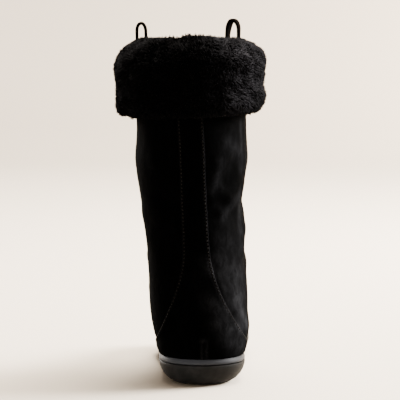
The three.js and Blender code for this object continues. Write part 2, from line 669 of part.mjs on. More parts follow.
// Pull loops: a doubled strap at each side of the opening, with its two legs sewn down inside the cuff's
// roll. inset is from the shaft's face to the strap's outer leg, rise is how far the loop stands above the
// cuff's top, and twist turns the strap a little about the vertical.
const LOOP_SIDES = [
  { name: 'pull_loop_outer', side: -1, spread: LOOP_SPREAD_OUTER, inset: -0.3, rise: 12.7, twist: 0.05 },
  { name: 'pull_loop_inner', side: 1, spread: LOOP_SPREAD_INNER, inset: 2.8, rise: 15.3, twist: -0.3 },
];
function pullLoop({ side, spread, inset, rise, twist }, grow = 0) {
  const reach = (grown) => spread / 2 + grown;
  const archLine = (half, top, foot) => {
    const steps = 12;
    const arch = Array.from({ length: steps + 1 }, (_, i) => {
      const angle = (Math.PI * i) / steps;
      const lift = Math.sin(angle) ** 0.8;
      return new THREE.Vector2(half * Math.cos(angle), top - (1 - lift) * spread * 0.85);
    });
    return [new THREE.Vector2(half, foot), ...arch, new THREE.Vector2(-half, foot)];
  };
  const foot = -LOOP_SUNK - grow;
  const outside = archLine(reach(grow), rise + grow, foot);
  const within = archLine(reach(-grow) - LOOP_STRAP, rise - LOOP_STRAP - grow, foot);
  const outline = new THREE.Shape([...outside, ...within.reverse()]);
  const width = LOOP_STRAP_WIDTH + 2 * grow;
  const strap = new THREE.ExtrudeGeometry(outline, { depth: width, bevelEnabled: false });
  strap.translate(0, 0, -width / 2);
  strap.rotateX(Math.PI / 2);
  strap.rotateZ(twist);
  const wallX = middleAt(RIM_HEIGHT) + (side * CALF_WIDTH) / 2;
  const depthY = calfBack + CALF_DEPTH / 2;
  return strap.translate(wallX - side * (inset + spread / 2), depthY, cuffTop);
}

// The boot
const suede = new THREE.MeshStandardMaterial({ color: 0x0a0a0b, roughness: 0.95, metalness: 0 });
const fleece = new THREE.MeshStandardMaterial({ color: 0x0c0b0c, roughness: 1, metalness: 0 });
const rubber = new THREE.MeshStandardMaterial({ color: 0x2b2927, roughness: 0.55, metalness: 0 });
const bandRubber = new THREE.MeshStandardMaterial({ color: 0x34353a, roughness: 0.5, metalness: 0 });
const tape = new THREE.MeshStandardMaterial({ color: 0x171210, roughness: 0.8, metalness: 0 });

const boot = new THREE.Group();
function addPiece(name, geometry, material) {
  const mesh = new THREE.Mesh(geometry, material);
  mesh.name = name;
  boot.add(mesh);
}
addPiece('outsole', outsole(), rubber);
addPiece('foxing_band', band(), bandRubber);
addPiece('upper', wallBetween(movedOut(0), movedOut(-LEATHER)), suede);
addPiece('back_stay', backStay(), suede);
addPiece('footbed', footbed(), fleece);
addPiece('cuff', cuff(), fleece);
for (const side of LOOP_SIDES) addPiece(side.name, pullLoop(side), tape);

export default boot;
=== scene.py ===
import math

import bmesh
import bpy
import numpy as np
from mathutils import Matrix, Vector, noise
from mathutils.bvhtree import BVHTree


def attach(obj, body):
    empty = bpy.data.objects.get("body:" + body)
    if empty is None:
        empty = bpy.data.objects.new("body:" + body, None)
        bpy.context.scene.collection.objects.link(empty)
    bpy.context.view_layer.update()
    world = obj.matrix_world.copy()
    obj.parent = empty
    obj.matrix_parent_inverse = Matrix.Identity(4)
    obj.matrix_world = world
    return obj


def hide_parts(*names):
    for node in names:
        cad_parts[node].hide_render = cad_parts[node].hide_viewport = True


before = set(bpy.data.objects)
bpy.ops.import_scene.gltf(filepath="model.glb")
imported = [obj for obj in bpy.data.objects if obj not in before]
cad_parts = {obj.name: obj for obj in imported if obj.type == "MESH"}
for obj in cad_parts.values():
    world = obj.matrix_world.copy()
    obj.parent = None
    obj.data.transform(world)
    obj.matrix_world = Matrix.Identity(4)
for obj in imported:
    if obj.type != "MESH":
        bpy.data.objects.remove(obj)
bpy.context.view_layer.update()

# Studio: a pale paper sweep, a large soft key from the right and an overhead, as in a catalogue photo, with
# weaker lights on the paper or the boot alone. The camera stands low behind the heel with a long lens.
MM = 0.001
CAMERA_AT = (-0.0018, -1.7, 0.286)
CAMERA_DOWN = math.radians(4.4)
LENS = 180
SWEEP_PROFILE = [(0, 0), (3.2, 0), (3.9, 0.06), (4.4, 0.35), (4.7, 0.9), (4.8, 1.6), (4.8, 3.4)]
SWEEP_TURNS = 128
PAPER = "F8EAD7"
WORLD_COLOUR = "F4E6D6"
WORLD_STRENGTH = 0.28


def linear(code):
    """An sRGB hex colour as linear RGBA."""
    parts = [int(code[i:i + 2], 16) / 255 for i in (0, 2, 4)]
    return [c / 12.92 if c <= 0.04045 else ((c + 0.055) / 1.055) ** 2.4 for c in parts] + [1]


def add_node(tree, kind, settings, links):
    """A new shader node with its inputs or properties set, and other nodes' outputs linked into it."""
    node = tree.nodes.new("ShaderNode" + kind)
    for key, value in settings.items():
        if isinstance(key, int) or key in node.inputs:
            node.inputs[key].default_value = value
        else:
            setattr(node, key, value)
    for key, output in links.items():
        tree.links.new(output, node.inputs[key])
    return node


def new_material(name, settings):
    """A material whose main shader has these plain settings, with its node tree and Object coordinates."""
    made = bpy.data.materials.new(name)
    made.use_nodes = True
    tree = made.node_tree
    shader = tree.nodes["Principled BSDF"]
    for key, value in settings.items():
        shader.inputs[key].default_value = value
    place = add_node(tree, "TexCoord", {}, {}).outputs["Object"]
    return made, tree, shader, place


def new_piece(name, mesh, material=None):
    """A new object at the origin that holds the mesh."""
    piece = bpy.data.objects.new(name, mesh)
    bpy.context.collection.objects.link(piece)
    if material:
        mesh.materials.clear()
        mesh.materials.append(material)
    return piece


def new_mesh(name, points, faces):
    mesh = bpy.data.meshes.new(name)
    mesh.from_pydata([tuple(p) for p in points], [], [tuple(f) for f in faces])
    mesh.shade_smooth()
    return mesh


bpy.ops.object.select_all(action="DESELECT")
lens = bpy.data.cameras.new("camera")
lens.lens = LENS
camera = bpy.data.objects.new("camera", lens)
camera.location = CAMERA_AT
camera.rotation_euler = (math.pi / 2 - CAMERA_DOWN, 0, 0)
bpy.context.collection.objects.link(camera)
bpy.context.scene.camera = camera

# Matt coated paper: pale, warm and even, with no gloss spot of its own.
paper = new_material("paper_sweep_matt", {
    "Base Color": linear(PAPER), "Roughness": 0.9, "Specular IOR Level": 0.2})[0]
sweep_points = [(0, 0, 0)]
for radius, height in SWEEP_PROFILE[1:]:
    for i in range(SWEEP_TURNS):
        turn = 2 * math.pi * i / SWEEP_TURNS
        sweep_points.append((radius * math.cos(turn), radius * math.sin(turn), height))
sweep_faces = [(0, 1 + i, 1 + (i + 1) % SWEEP_TURNS) for i in range(SWEEP_TURNS)]
for ring in range(len(SWEEP_PROFILE) - 2):
    for i in range(SWEEP_TURNS):
        a, b = 1 + ring * SWEEP_TURNS + i, 1 + ring * SWEEP_TURNS + (i + 1) % SWEEP_TURNS
        sweep_faces.append((a, a + SWEEP_TURNS, b + SWEEP_TURNS, b))
floor = new_piece("sweep", new_mesh("sweep", sweep_points, sweep_faces), paper)
# The paper is hidden from diffuse rays, which keeps its own light off the boot's shadow side.
floor.visible_diffuse = False


def area_light(name, at, towards, size, watts, colour):
    """A soft square light that isn't seen itself."""
    light = bpy.data.lights.new(name, "AREA")
    light.size = size
    light.energy = watts
    light.color = linear(colour)[:3]
    lamp = bpy.data.objects.new(name, light)
    lamp.location = at
    lamp.rotation_mode = "QUATERNION"
    lamp.rotation_quaternion = (Vector(towards) - Vector(at)).to_track_quat("-Z", "Y")
    lamp.visible_camera = False
    bpy.context.collection.objects.link(lamp)
    return lamp


area_light("key", (2.3, 0.75, 1.3), (0, 0, 0.12), 1.15, 265, "FFFDFA")
area_light("overhead", (0.6, 0.9, 3.2), (0.1, 0.4, 0), 2.4, 415, "FFF6EA")
area_light("backdrop", (1.8, 3.6, 1.3), (0.8, 4.8, 0.6), 0.8, 152, "FFF0E0")
# The wash lights the paper alone, which is brighter at the right.
wash = area_light("wash", (1.9, 1.2, 1.0), (1.0, 1.3, 0), 1.2, 170, "FFF8F0")
wash.light_linking.receiver_collection = bpy.data.collections.new("only_paper")
wash.light_linking.receiver_collection.objects.link(floor)
# The fill is flagged off the paper, where it would wash the boot's shadow out.
fill = area_light("fill", (-1.4, 2.2, 1.3), (0, 0.05, 0.12), 1.4, 210, "FFFAF4")
all_but_paper = bpy.data.collections.new("all_but_paper")
all_but_paper.objects.link(floor)
all_but_paper.collection_objects[0].light_linking.link_state = "EXCLUDE"
fill.light_linking.receiver_collection = all_but_paper
world = bpy.data.worlds.new("studio")
world.use_nodes = True
world.node_tree.nodes["Background"].inputs["Color"].default_value = linear(WORLD_COLOUR)
world.node_tree.nodes["Background"].inputs["Strength"].default_value = WORLD_STRENGTH
bpy.context.scene.world = world

# Outsole: one moulded unit of light black rubber, with strongly rounded sides and a tread of low bars.
# It is cemented under the lasted upper, and its top edge is turned over a little where the band meets it.
SOLE_MARGIN = 3.7 * MM
SOLE_BEVEL = 0.9 * MM
ROUND_HEEL = 18.5 * MM
ROUND_TOE = 13 * MM
HEEL_BACK = -35 * MM
FOOT_LENGTH = 250 * MM
TOE_SPRING = 7 * MM
ARCH_LIFT = 2.6 * MM
SIDE_STEPS = 22
PAN_INSET = 4.5 * MM
PAN_SLOPE = 0.8 * MM
TREAD_DEPTH = 2 * MM
TREAD_PITCH = 7.2 * MM
TREAD_BARS = range(2, 34)
BAR_STATIONS = 25
BAR_ENDS = 1.5 * MM
SHORTEST_BAR = 14 * MM
WAVE_HEIGHT = 1.5 * MM
WAVE_LENGTH = 5.2 * MM
RING_STEPS = 260
SPRING_AT = ([0, 0.8, 0.88, 0.95, 1.02], [0, 0, 0.16, 0.55, 1])
ARCH_AT = ([0, 0.26, 0.34, 0.44, 0.54, 0.62, 1.02], [0, 0, 0.8, 1, 0.7, 0, 0])
# The top edge inwards from the sole's margin and down, and a bar's section across and up, both in mm.
LIP_SECTION = [(7, 0.5), (2.2, 0.5), (1.5, 0.2), (0.8, 0.25), (0.3, 0.5), (0.05, 1)]
BAR_SECTION = [(-1.9, 2.4), (-1.7, 0.25), (-1.4, 0.02), (1.4, 0.02), (1.7, 0.25), (1.9, 2.4)]
SOLE_BLACK = "1C1C1B"
SOLE_WORN = "2A2827"


def smooth_curve(xs, ys, at):
    """A smooth curve through the points, held flat beyond its ends."""
    xs, ys = np.asarray(xs, float), np.asarray(ys, float)
    ahead, behind = np.r_[xs[1:], xs[-1]], np.r_[xs[0], xs[:-1]]
    slope = (np.r_[ys[1:], ys[-1]] - np.r_[ys[0], ys[:-1]]) / (ahead - behind)
    at = np.clip(at, xs[0], xs[-1])
    i = np.clip(np.searchsorted(xs, at, side="right") - 1, 0, len(xs) - 2)
    span = xs[i + 1] - xs[i]
    t = (at - xs[i]) / span
    ease = 3 * t ** 2 - 2 * t ** 3
    turn = span * ((t ** 3 - 2 * t ** 2 + t) * slope[i] + (t ** 3 - t ** 2) * slope[i + 1])
    return ys[i] + (ys[i + 1] - ys[i]) * ease + turn


def run_along(line):
    """How far along a line each of its points lies."""
    return np.r_[0, np.cumsum(np.linalg.norm(np.diff(line, axis=0), axis=1))]


def unit(vectors):
    """The same directions with a length of 1."""
    return vectors / np.linalg.norm(vectors, axis=-1)[..., None]


def around(loop, steps):
    """A closed loop of points made smooth and even, as an array."""
    closed = np.vstack([loop[-2:], loop, loop[:3]])
    length = run_along(closed)
    start, end = length[2], length[2 + len(loop)]
    at = start + (end - start) * np.arange(steps) / steps
    return np.stack([smooth_curve(length, closed[:, k], at) for k in range(3)], axis=1)


def sole_lift(y):
    """How far the sole's underside stands off the floor, at the arch and the toe."""
    share = (y - HEEL_BACK) / FOOT_LENGTH
    lift = TOE_SPRING * smooth_curve(*SPRING_AT, share) + ARCH_LIFT * smooth_curve(*ARCH_AT, share)
    return np.maximum(lift, 0)


outsole_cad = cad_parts["outsole"].data
lid_corners = {}
for face in outsole_cad.polygons:
    if face.normal.z > 0.9:
        for v in face.vertices:
            corner = outsole_cad.vertices[v].co
            lid_corners[tuple(round(c, 6) for c in corner)] = tuple(corner)
lid_loop = np.array(list(lid_corners.values()))
lid_loop = lid_loop[lid_loop[:, 2] > 12 * MM]
from_middle = lid_loop[:, :2] - np.array([2 * MM, 90 * MM])
lid_loop = lid_loop[np.argsort(np.arctan2(from_middle[:, 1], from_middle[:, 0]))]
edge = around(lid_loop, RING_STEPS)
edge_run = np.roll(edge, -1, axis=0) - np.roll(edge, 1, axis=0)
edge_out = unit(np.stack([edge_run[:, 1], -edge_run[:, 0]], axis=1))
by_depth = np.argsort(edge[:, 1])
top_by_y = (edge[by_depth, 1][::8], edge[by_depth, 2][::8])


def sole_top(y):
    """The height of the sole's top edge, under the upper's lower edge."""
    return np.interp(y, *top_by_y)


def edge_ring(out, height):
    """The sole's outline moved out from the upper's lower edge, at a height that follows from Y."""
    ring = edge.copy()
    ring[:, :2] += edge_out * np.reshape(out - SOLE_MARGIN + SOLE_BEVEL, (-1, 1))
    ring[:, 2] = height(ring[:, 1])
    return ring


def tube_faces(rings, steps, joined):
    """Quads between rings of as many points each, that stand one after the other."""
    faces = []
    for i in range(rings if joined else rings - 1):
        for j in range(steps):
            a, b = i * steps + j, i * steps + (j + 1) % steps
            up = (i + 1) % rings * steps
            faces.append((a, b, up + (j + 1) % steps, up + j))
    return faces


def sole_level(down):
    """One ring of the sole's rounded side, from 0 at its top to 1 underneath."""
    share = np.clip((edge[:, 1] - HEEL_BACK) / FOOT_LENGTH, 0, 1)
    inward = (ROUND_HEEL + (ROUND_TOE - ROUND_HEEL) * share) * (1 - math.sqrt(1 - down ** 2))
    return edge_ring(SOLE_MARGIN - inward, lambda y: sole_top(y) * (1 - down) + sole_lift(y) * down)


pan_wall = sole_level(1)
pan_wall[:, :2] -= edge_out * PAN_INSET
pan_wall[:, 2] = sole_lift(pan_wall[:, 1])
pan_floor = pan_wall.copy()
pan_floor[:, :2] -= edge_out * PAN_SLOPE
pan_floor[:, 2] += TREAD_DEPTH
lip_rings = [edge_ring(SOLE_MARGIN - inwards * MM, lambda y: sole_top(y) - down * MM)
             for inwards, down in LIP_SECTION]
side_rings = [sole_level(math.sin(math.pi / 2 * i / SIDE_STEPS)) for i in range(2, SIDE_STEPS + 1)]
sole_rings = [pan_floor, pan_wall] + side_rings[::-1] + lip_rings[::-1]
sole_faces = tube_faces(len(sole_rings), RING_STEPS, False)
# The pan and the lid are closed by strips across the sole, from the heel to the toe.
last_ring = (len(sole_rings) - 1) * RING_STEPS
back_point = int(np.argmin(edge[:, 1]))
for k in range(RING_STEPS // 2):
    strip = list(dict.fromkeys((back_point + step) % RING_STEPS for step in (k, k + 1, -k - 1, -k)))
    sole_faces.append(tuple(strip[::-1]))
    sole_faces.append(tuple(last_ring + v for v in strip))
outsole = new_piece("outsole_rubber", new_mesh("outsole_rubber", np.vstack(sole_rings), sole_faces))

# The tread's bars are low waves across the pan, a little lower than the rim of the sole.
pan_outline = pan_wall * [1, 1, 0]
pan_fence = np.vstack([pan_outline, pan_outline + [0, 0, 50 * MM]])
pan_sides = BVHTree.FromPolygons([tuple(p) for p in pan_fence], tube_faces(2, RING_STEPS, False))
bar_points, bar_faces = [], []
size = len(BAR_SECTION)
for n in TREAD_BARS:
    y = HEEL_BACK + n * TREAD_PITCH
    middle = Vector((4 * MM, y, 20 * MM))
    right = pan_sides.ray_cast(middle, Vector((1, 0, 0)))[0]
    left = pan_sides.ray_cast(middle, Vector((-1, 0, 0)))[0]
    if right is None or left is None or right.x - left.x < SHORTEST_BAR:
        continue
    start = len(bar_points)
    for x in np.linspace(left.x + BAR_ENDS, right.x - BAR_ENDS, BAR_STATIONS):
        wave = WAVE_HEIGHT * math.cos(x / WAVE_LENGTH)
        for across, up in BAR_SECTION:
            at_y = y + wave + across * MM
            bar_points.append((x, at_y, float(sole_lift(np.array(at_y))) + up * MM))
    bar_faces += [tuple(start + v for v in f) for f in tube_faces(BAR_STATIONS, size, False)]
    bar_faces.append(tuple(start + j for j in range(size))[::-1])
    bar_faces.append(tuple(start + (BAR_STATIONS - 1) * size + j for j in range(size)))
bars = new_piece("outsole_tread", new_mesh("outsole_tread", bar_points, bar_faces))


def feed(tree, shader, tone, matt, relief):
    """The nodes of a material's colour, roughness and relief, linked into its shader where it has them."""
    for node, output, socket in ((tone, 2, "Base Color"), (matt, 0, "Roughness"), (relief, 0, "Normal")):
        if node:
            tree.links.new(node.outputs[output], shader.inputs[socket])


# Moulded blown rubber: dull, almost smooth, a little paler where it is scuffed.
rubber, tree, shader, place = new_material(
    "rubber_moulded_matt", {"IOR": 1.52, "Specular IOR Level": 0.06, "Roughness": 0.65})
clouds = add_node(tree, "TexNoise", {"Scale": 1 / (9 * MM), "Detail": 4, "Roughness": 0.6},
                  {"Vector": place})
grit = add_node(tree, "TexNoise", {"Scale": 1 / (0.7 * MM), "Detail": 2}, {"Vector": place})
scuff = add_node(tree, "MapRange", {"From Min": 0.42, "From Max": 0.7}, {"Value": clouds.outputs["Fac"]})
tone = add_node(tree, "Mix", {"data_type": "RGBA", 6: linear(SOLE_BLACK), 7: linear(SOLE_WORN)},
                {0: scuff.outputs["Result"]})
gloss = add_node(tree, "MapRange", {"To Min": 0.55, "To Max": 0.75}, {"Value": clouds.outputs["Fac"]})
relief = add_node(tree, "Bump", {"Strength": 0.35, "Distance": 0.12 * MM}, {"Height": grit.outputs["Fac"]})
feed(tree, shader, tone, gloss, relief)
# A low card lights the rubber alone, in place of the paper's own light, which diffuse rays don't see.
card = area_light("card", (-0.5, -0.9, 0.2), (0, 0, 0.02), 0.6, 8, "FFFFFF")
card.light_linking.receiver_collection = bpy.data.collections.new("lit_by_card")
for piece in (outsole, bars):
    card.light_linking.receiver_collection.objects.link(piece)
    piece.data.materials.append(rubber)
    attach(piece, "root")
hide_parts("outsole")

# Foxing band: a strip of grey-black rubber tape rolled on round the joint between the sole and the suede.
# Its thin top edge leans in on the suede, and its two ends meet in a butt joint at the back of the heel.
BAND_BLACK = "333437"
BAND_STREAK = "424346"
JOINT_X = 1.4 * MM
# The tape's section outwards from the upper's lower edge and up, in mm.
BAND_SECTION = [
    (0.4, 0.15), (2.6, 0.1), (3.25, 0.25), (3.6, 0.7), (3.62, 1.3), (3.4, 2.2), (3.0, 3.1), (2.5, 3.9),
    (2.25, 4.3), (1.95, 4.55), (1.5, 4.62), (0.9, 4.5), (0.4, 4.2),
]
GAP = 0.3 * MM


def ridge(away, half_width):
    """1 on a line, falling off softly to both sides."""
    return np.exp(-(away / half_width) ** 2)


joint_run = (edge[:, 0] - JOINT_X) / MM
at_back = edge[:, 1] < 0
joint_rise = np.where(at_back, 0.22 * ridge(joint_run, 2.2) - 0.5 * ridge(joint_run, 0.55), 0)
band_rings = []
for out, up in BAND_SECTION:
    raised = joint_rise * (1 if out > 1.2 else 0)
    band_rings.append(edge_ring((out + raised) * MM, lambda y: sole_top(y) + GAP + up * MM))
band_faces = tube_faces(len(band_rings), RING_STEPS, True)
band = new_piece("foxing_band_rubber", new_mesh("foxing_band_rubber", np.vstack(band_rings), band_faces))
# Calendered rubber tape: smoother than the sole, with the faint streaks of its rolling.
band_rubber, tree, shader, place = new_material(
    "rubber_calendered_tape", {"IOR": 1.52, "Specular IOR Level": 0.08, "Roughness": 0.56})
streak_place = add_node(tree, "Mapping", {"Scale": (1, 1, 9)}, {"Vector": place})
streaks = add_node(tree, "TexNoise", {"Scale": 1 / (6 * MM), "Detail": 3},
                   {"Vector": streak_place.outputs[0]})
tone = add_node(tree, "Mix", {"data_type": "RGBA", 6: linear(BAND_BLACK), 7: linear(BAND_STREAK)},
                {0: streaks.outputs["Fac"]})
gloss = add_node(tree, "MapRange", {"To Min": 0.46, "To Max": 0.66}, {"Value": streaks.outputs["Fac"]})
relief = add_node(tree, "Bump", {"Strength": 0.25, "Distance": 0.1 * MM},
                  {"Height": streaks.outputs["Fac"]})
feed(tree, shader, tone, gloss, relief)
band.data.materials.append(band_rubber)
card.light_linking.receiver_collection.objects.link(band)
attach(band, "root")
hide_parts("foxing_band")

# Upper: the vamp and the tall shaft, of black sheep suede with the wool inside, lasted and cemented down.
# The empty shaft is soft, so it stands in shallow folds that show best on the inner side, in the light.
SUEDE_BLACK = "060606"
SUEDE_BRUSHED_AND_LIT = "2C2C2E"
# The middle line of the leg and the foot, and where the leg turns into the instep.
LEG_MIDDLE_Y = 27 * MM
TOE_MIDDLE_Y = 185 * MM
FOOT_MIDDLE_X = 3 * MM
FOOT_MIDDLE_Z = 22 * MM
INSTEP_Y = 78 * MM
INSTEP_Z = 122 * MM
HIDE_RISE = 0.9 * MM
# Folds: the side that they are drawn from, their line in mm, their half width and their height in mm.
FOLDS = [
    ("back", [(37, 208), (26, 199), (12, 188)], 5, 0.9),
    ("back", [(27, 190), (22, 178), (20, 172)], 8, -1.7),
    ("back", [(16, 172), (11, 165)], 5, -0.9),
    ("back", [(9, 159), (20, 162), (31, 168)], 3.6, 0.8),
    ("back", [(36, 163), (26, 153), (16, 146)], 4.2, 1.1),
    ("back", [(36, 151), (26, 144), (9, 143)], 5.5, -1.6),
    ("back", [(37, 133), (24, 132), (10, 126)], 7, 0.8),
    ("back", [(37, 117), (26, 119), (15, 113)], 5, -1.1),
    ("back", [(36, 100), (27, 88), (25, 74)], 7, 0.6),
    ("back", [(-50, 192), (-38, 186), (-27, 178)], 8, 0.8),
    ("back", [(-48, 166), (-36, 158), (-24, 153)], 7, -1.0),
    ("back", [(-44, 134), (-34, 127), (-22, 125)], 7, -0.9),
    ("back", [(-40, 112), (-30, 104), (-22, 96)], 7, 0.6),
    ("inner", [(6, 190), (44, 190)], 8, 0.8),
    ("inner", [(4, 151), (36, 151)], 5, -0.5),
    ("inner", [(4, 128), (36, 130)], 6, 0.8),
    ("inner", [(-12, 46), (30, 43)], 10, 1.9),
    ("inner", [(-12, 29), (30, 28)], 7, 0.6),
    ("inner", [(44, 151), (58, 153), (78, 158)], 7, -2.4),
    ("inner", [(44, 133), (60, 135), (80, 139)], 8, 1.3),
    ("inner", [(42, 115), (58, 119), (76, 126)], 6, -2.5),
    ("inner", [(30, 100), (56, 104), (84, 112)], 7, 1.2),
    ("inner", [(46, 90), (72, 93), (96, 98)], 6, -2.0),
    ("inner", [(46, 180), (62, 182), (80, 187)], 9, -1.5),
    ("outer", [(-12, 36), (30, 31)], 4, -1.0),
    ("outer", [(8, 189), (44, 191)], 8, 0.8),
    ("outer", [(6, 143), (40, 143)], 6, 0.8),
    ("outer", [(44, 158), (60, 160), (80, 166)], 7, -2.1),
    ("outer", [(46, 141), (60, 143), (78, 149)], 8, 1.3),
    ("outer", [(42, 121), (58, 125), (78, 132)], 6, -2.4),
    ("outer", [(34, 104), (60, 106), (88, 114)], 7, 1.2),
    ("outer", [(48, 92), (74, 94), (98, 99)], 6, -2.0),
    ("outer", [(46, 192), (62, 195), (82, 201)], 9, -1.4),
    ("front", [(-34, 142), (-8, 134), (20, 140)], 7, -1.8),
    ("front", [(-30, 160), (-6, 155), (18, 163)], 8, -1.1),
    ("front", [(-30, 122), (-4, 116), (22, 121)], 6, -1.6),
]
# Where the suede is painted paler, as brushed-up nap and as painted light and highlight where the key lamp
# falls: the same columns, with a share from 0 to 1 at the end.
BRUSHED_AND_PAINTED_LIGHT = [
    ("back", [(33, 220), (33, 182)], 4, 0.35),
    ("back", [(22, 204), (30, 197)], 6, 0.35),
    ("back", [(16, 190), (11, 168)], 5, 0.35),
    ("back", [(32, 161), (18, 143)], 4, 0.35),
    ("back", [(32, 149), (33, 128)], 4.5, 0.4),
    ("back", [(12, 125), (32, 118)], 9, 0.22),
    ("back", [(14, 102), (32, 94)], 9, 0.45),
    ("back", [(24, 86), (34, 76)], 7, 0.45),
    ("back", [(14, 95), (22, 73)], 2, 0.35),
    # A painted highlight where the key lamp catches the heel's right edge.
    ("back", [(29, 72), (38, 50)], 6, 0.9),
    ("back", [(1, 108), (6, 97)], 4, 0.5),
    ("back", [(4, 72), (16, 64)], 7, 0.55),
    ("back", [(12, 52), (32, 48)], 7, 0.65),
    ("back", [(20, 39), (33, 33)], 7, 0.5),
    ("back", [(-46, 192), (-43, 182)], 4, 0.25),
    ("inner", [(52, 205), (72, 172)], 9, 0.2),
    ("inner", [(44, 112), (92, 100)], 8, 0.25),
    ("inner", [(108, 82), (156, 56)], 9, 0.2),
    ("inner", [(14, 72), (58, 58)], 9, 0.25),
    ("outer", [(50, 200), (74, 176)], 9, 0.3),
    ("outer", [(40, 118), (88, 104)], 8, 0.35),
    ("outer", [(104, 80), (150, 56)], 9, 0.3),
    ("outer", [(10, 76), (50, 56)], 9, 0.35),
    ("front", [(-30, 48), (24, 50)], 10, 0.35),
]
VIEW_LINES = {"back": (0, -1), "front": (0, 1), "inner": (1, 0), "outer": (-1, 0)}


def only(piece):
    """The piece alone is selected and active."""
    bpy.ops.object.select_all(action="DESELECT")
    piece.select_set(True)
    bpy.context.view_layer.objects.active = piece


def node_copy(node, name):
    """A CAD node's surface as a new piece, with its corners merged and its triangles paired."""
    piece = new_piece(name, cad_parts[node].data.copy())
    piece.data.materials.clear()
    only(piece)
    bpy.ops.object.mode_set(mode="EDIT")
    bpy.ops.mesh.select_all(action="SELECT")
    bpy.ops.mesh.remove_doubles(threshold=0.02 * MM)
    bpy.ops.mesh.tris_convert_to_quads(face_threshold=math.radians(60), shape_threshold=math.radians(80))
    bpy.ops.object.mode_set(mode="OBJECT")
    return piece


def apply_modifier(piece, kind, settings):
    """One modifier with its settings, put on and applied."""
    only(piece)
    modifier = piece.modifiers.new(kind.lower(), kind)
    for key, value in settings.items():
        setattr(modifier, key, value)
    bpy.ops.object.modifier_apply(modifier=modifier.name)


def read_vectors(rows, field):
    """One vector of each row of a mesh's data, as an array."""
    flat = np.empty(len(rows) * 3)
    rows.foreach_get(field, flat)
    return flat.reshape(-1, 3)


def read_shape(mesh):
    """A mesh's points, and its normals there."""
    return read_vectors(mesh.vertices, "co"), read_vectors(mesh.vertex_normals, "vector")


def write_points(mesh, points):
    mesh.vertices.foreach_set("co", np.ascontiguousarray(points).ravel())
    mesh.update()


def surface_of(mesh):
    """A mesh as a surface that rays can be cast on."""
    points = [v.co.copy() for v in mesh.vertices]
    return BVHTree.FromPolygons(points, [tuple(f.vertices) for f in mesh.polygons])


def line_distance(points, line):
    """Each point's distance from a line of straight stretches."""
    nearest = np.full(len(points), np.inf)
    for a, b in zip(line[:-1], line[1:]):
        run = b - a
        t = np.clip(((points - a) @ run) / (run @ run), 0, 1)
        nearest = np.minimum(nearest, np.linalg.norm(points - a - t[:, None] * run, axis=1))
    return nearest


def drawn_on(surface, view, line):
    """A line of two or three points, drawn on the surface from one side."""
    ahead = Vector((*VIEW_LINES[view], 0))
    drawn = []
    for across, z in line:
        start = Vector((across * MM if ahead.y else 0, across * MM if ahead.x else 0, z * MM)) + ahead * 0.4
        hit = surface.ray_cast(start, -ahead)[0]
        if hit is None:
            hit = surface.find_nearest(start - ahead * 0.35)[0]
        drawn.append(np.array(hit))
    return drawn


def soft_band(points, surface, view, line, half_width):
    """1 on a line drawn on the surface, falling off softly to both sides."""
    away = line_distance(points, drawn_on(surface, view, line)) / (half_width * MM)
    return np.exp(-0.9 * away ** 2)


def paint_nap_and_light(mesh, surface, strokes, more=0):
    """The share of brushed nap and painted light on suede or wool at each point of a mesh, kept as its
    attribute.
    """
    points = read_vectors(mesh.vertices, "co")
    share = sum(strength * soft_band(points, surface, view, line, half_width)
                for view, line, half_width, strength in strokes)
    # The 'nap' attribute carries painted light as well as brushed nap.
    made = mesh.attributes.new("nap", "FLOAT", "POINT")
    made.data.foreach_set("value", np.clip(share + more, 0, 1).astype(np.float32))


def bumps(points, size, seed):
    """Soft noise from -1 to 1 at each point, with lumps of a given size."""
    shift = Vector((seed * 7.1, seed * 3.3, seed * 5.7))
    return np.array([noise.noise(Vector(p) / size + shift) for p in points])


upper = node_copy("upper", "upper_suede")
apply_modifier(upper, "SUBSURF", {"levels": 2, "render_levels": 2})
smooth_upper = surface_of(upper.data)


def leg_middle(z):
    """The middle of the shaft across, at a height."""
    left, right = [
        smooth_upper.ray_cast(Vector((side * 0.2, LEG_MIDDLE_Y, z)), Vector((-side, 0, 0)))[0].x
        for side in (-1, 1)]
    return (left + right) / 2


middle_heights = np.linspace(30, 268, 60) * MM
middle_xs = np.array([leg_middle(z) for z in middle_heights])


def faces_out(points, normals):
    """Which of the upper's points are on its outer face."""
    in_leg = (points[:, 1] < INSTEP_Y) | (points[:, 2] > INSTEP_Z)
    core = np.stack([
        np.where(in_leg, np.interp(points[:, 2], middle_heights, middle_xs), FOOT_MIDDLE_X),
        np.where(in_leg, LEG_MIDDLE_Y, np.minimum(points[:, 1], TOE_MIDDLE_Y)),
        np.where(in_leg, points[:, 2], FOOT_MIDDLE_Z),
    ], axis=1)
    return np.sum((points - core) * normals, axis=1) > 0


inner_wall = new_piece("lining_fleece", upper.data.copy())
# Only the outer face is made finer, for the folds.
points, normals = read_shape(upper.data)
outside = faces_out(points, normals)
grid = bmesh.new()
grid.from_mesh(upper.data)
grid.verts.ensure_lookup_table()
outer_edges = [e for e in grid.edges if all(outside[v.index] for v in e.verts)]
bmesh.ops.subdivide_edges(grid, edges=outer_edges, cuts=1, use_grid_fill=True, smooth=0)
grid.to_mesh(upper.data)
grid.free()
points, normals = read_shape(upper.data)
outside = faces_out(points, normals)
lift = np.zeros(len(points))
for view, line, half_width, height in FOLDS:
    facing = np.clip(2.4 * (normals[:, :2] @ np.array(VIEW_LINES[view])) - 0.3, 0, 1)
    lift += height * MM * soft_band(points, smooth_upper, view, line, half_width) * facing
shaft_share = np.clip((points[:, 2] - 40 * MM) / (60 * MM), 0, 1)
lift += HIDE_RISE + bumps(points, 17 * MM, 1) * 0.4 * MM * shaft_share + bumps(points, 6 * MM, 2) * 0.12 * MM
lift *= outside
write_points(upper.data, points + normals * lift[:, None])
upper.data.shade_smooth()
upper_surface = surface_of(upper.data)
paint_nap_and_light(upper.data, upper_surface, BRUSHED_AND_PAINTED_LIGHT)
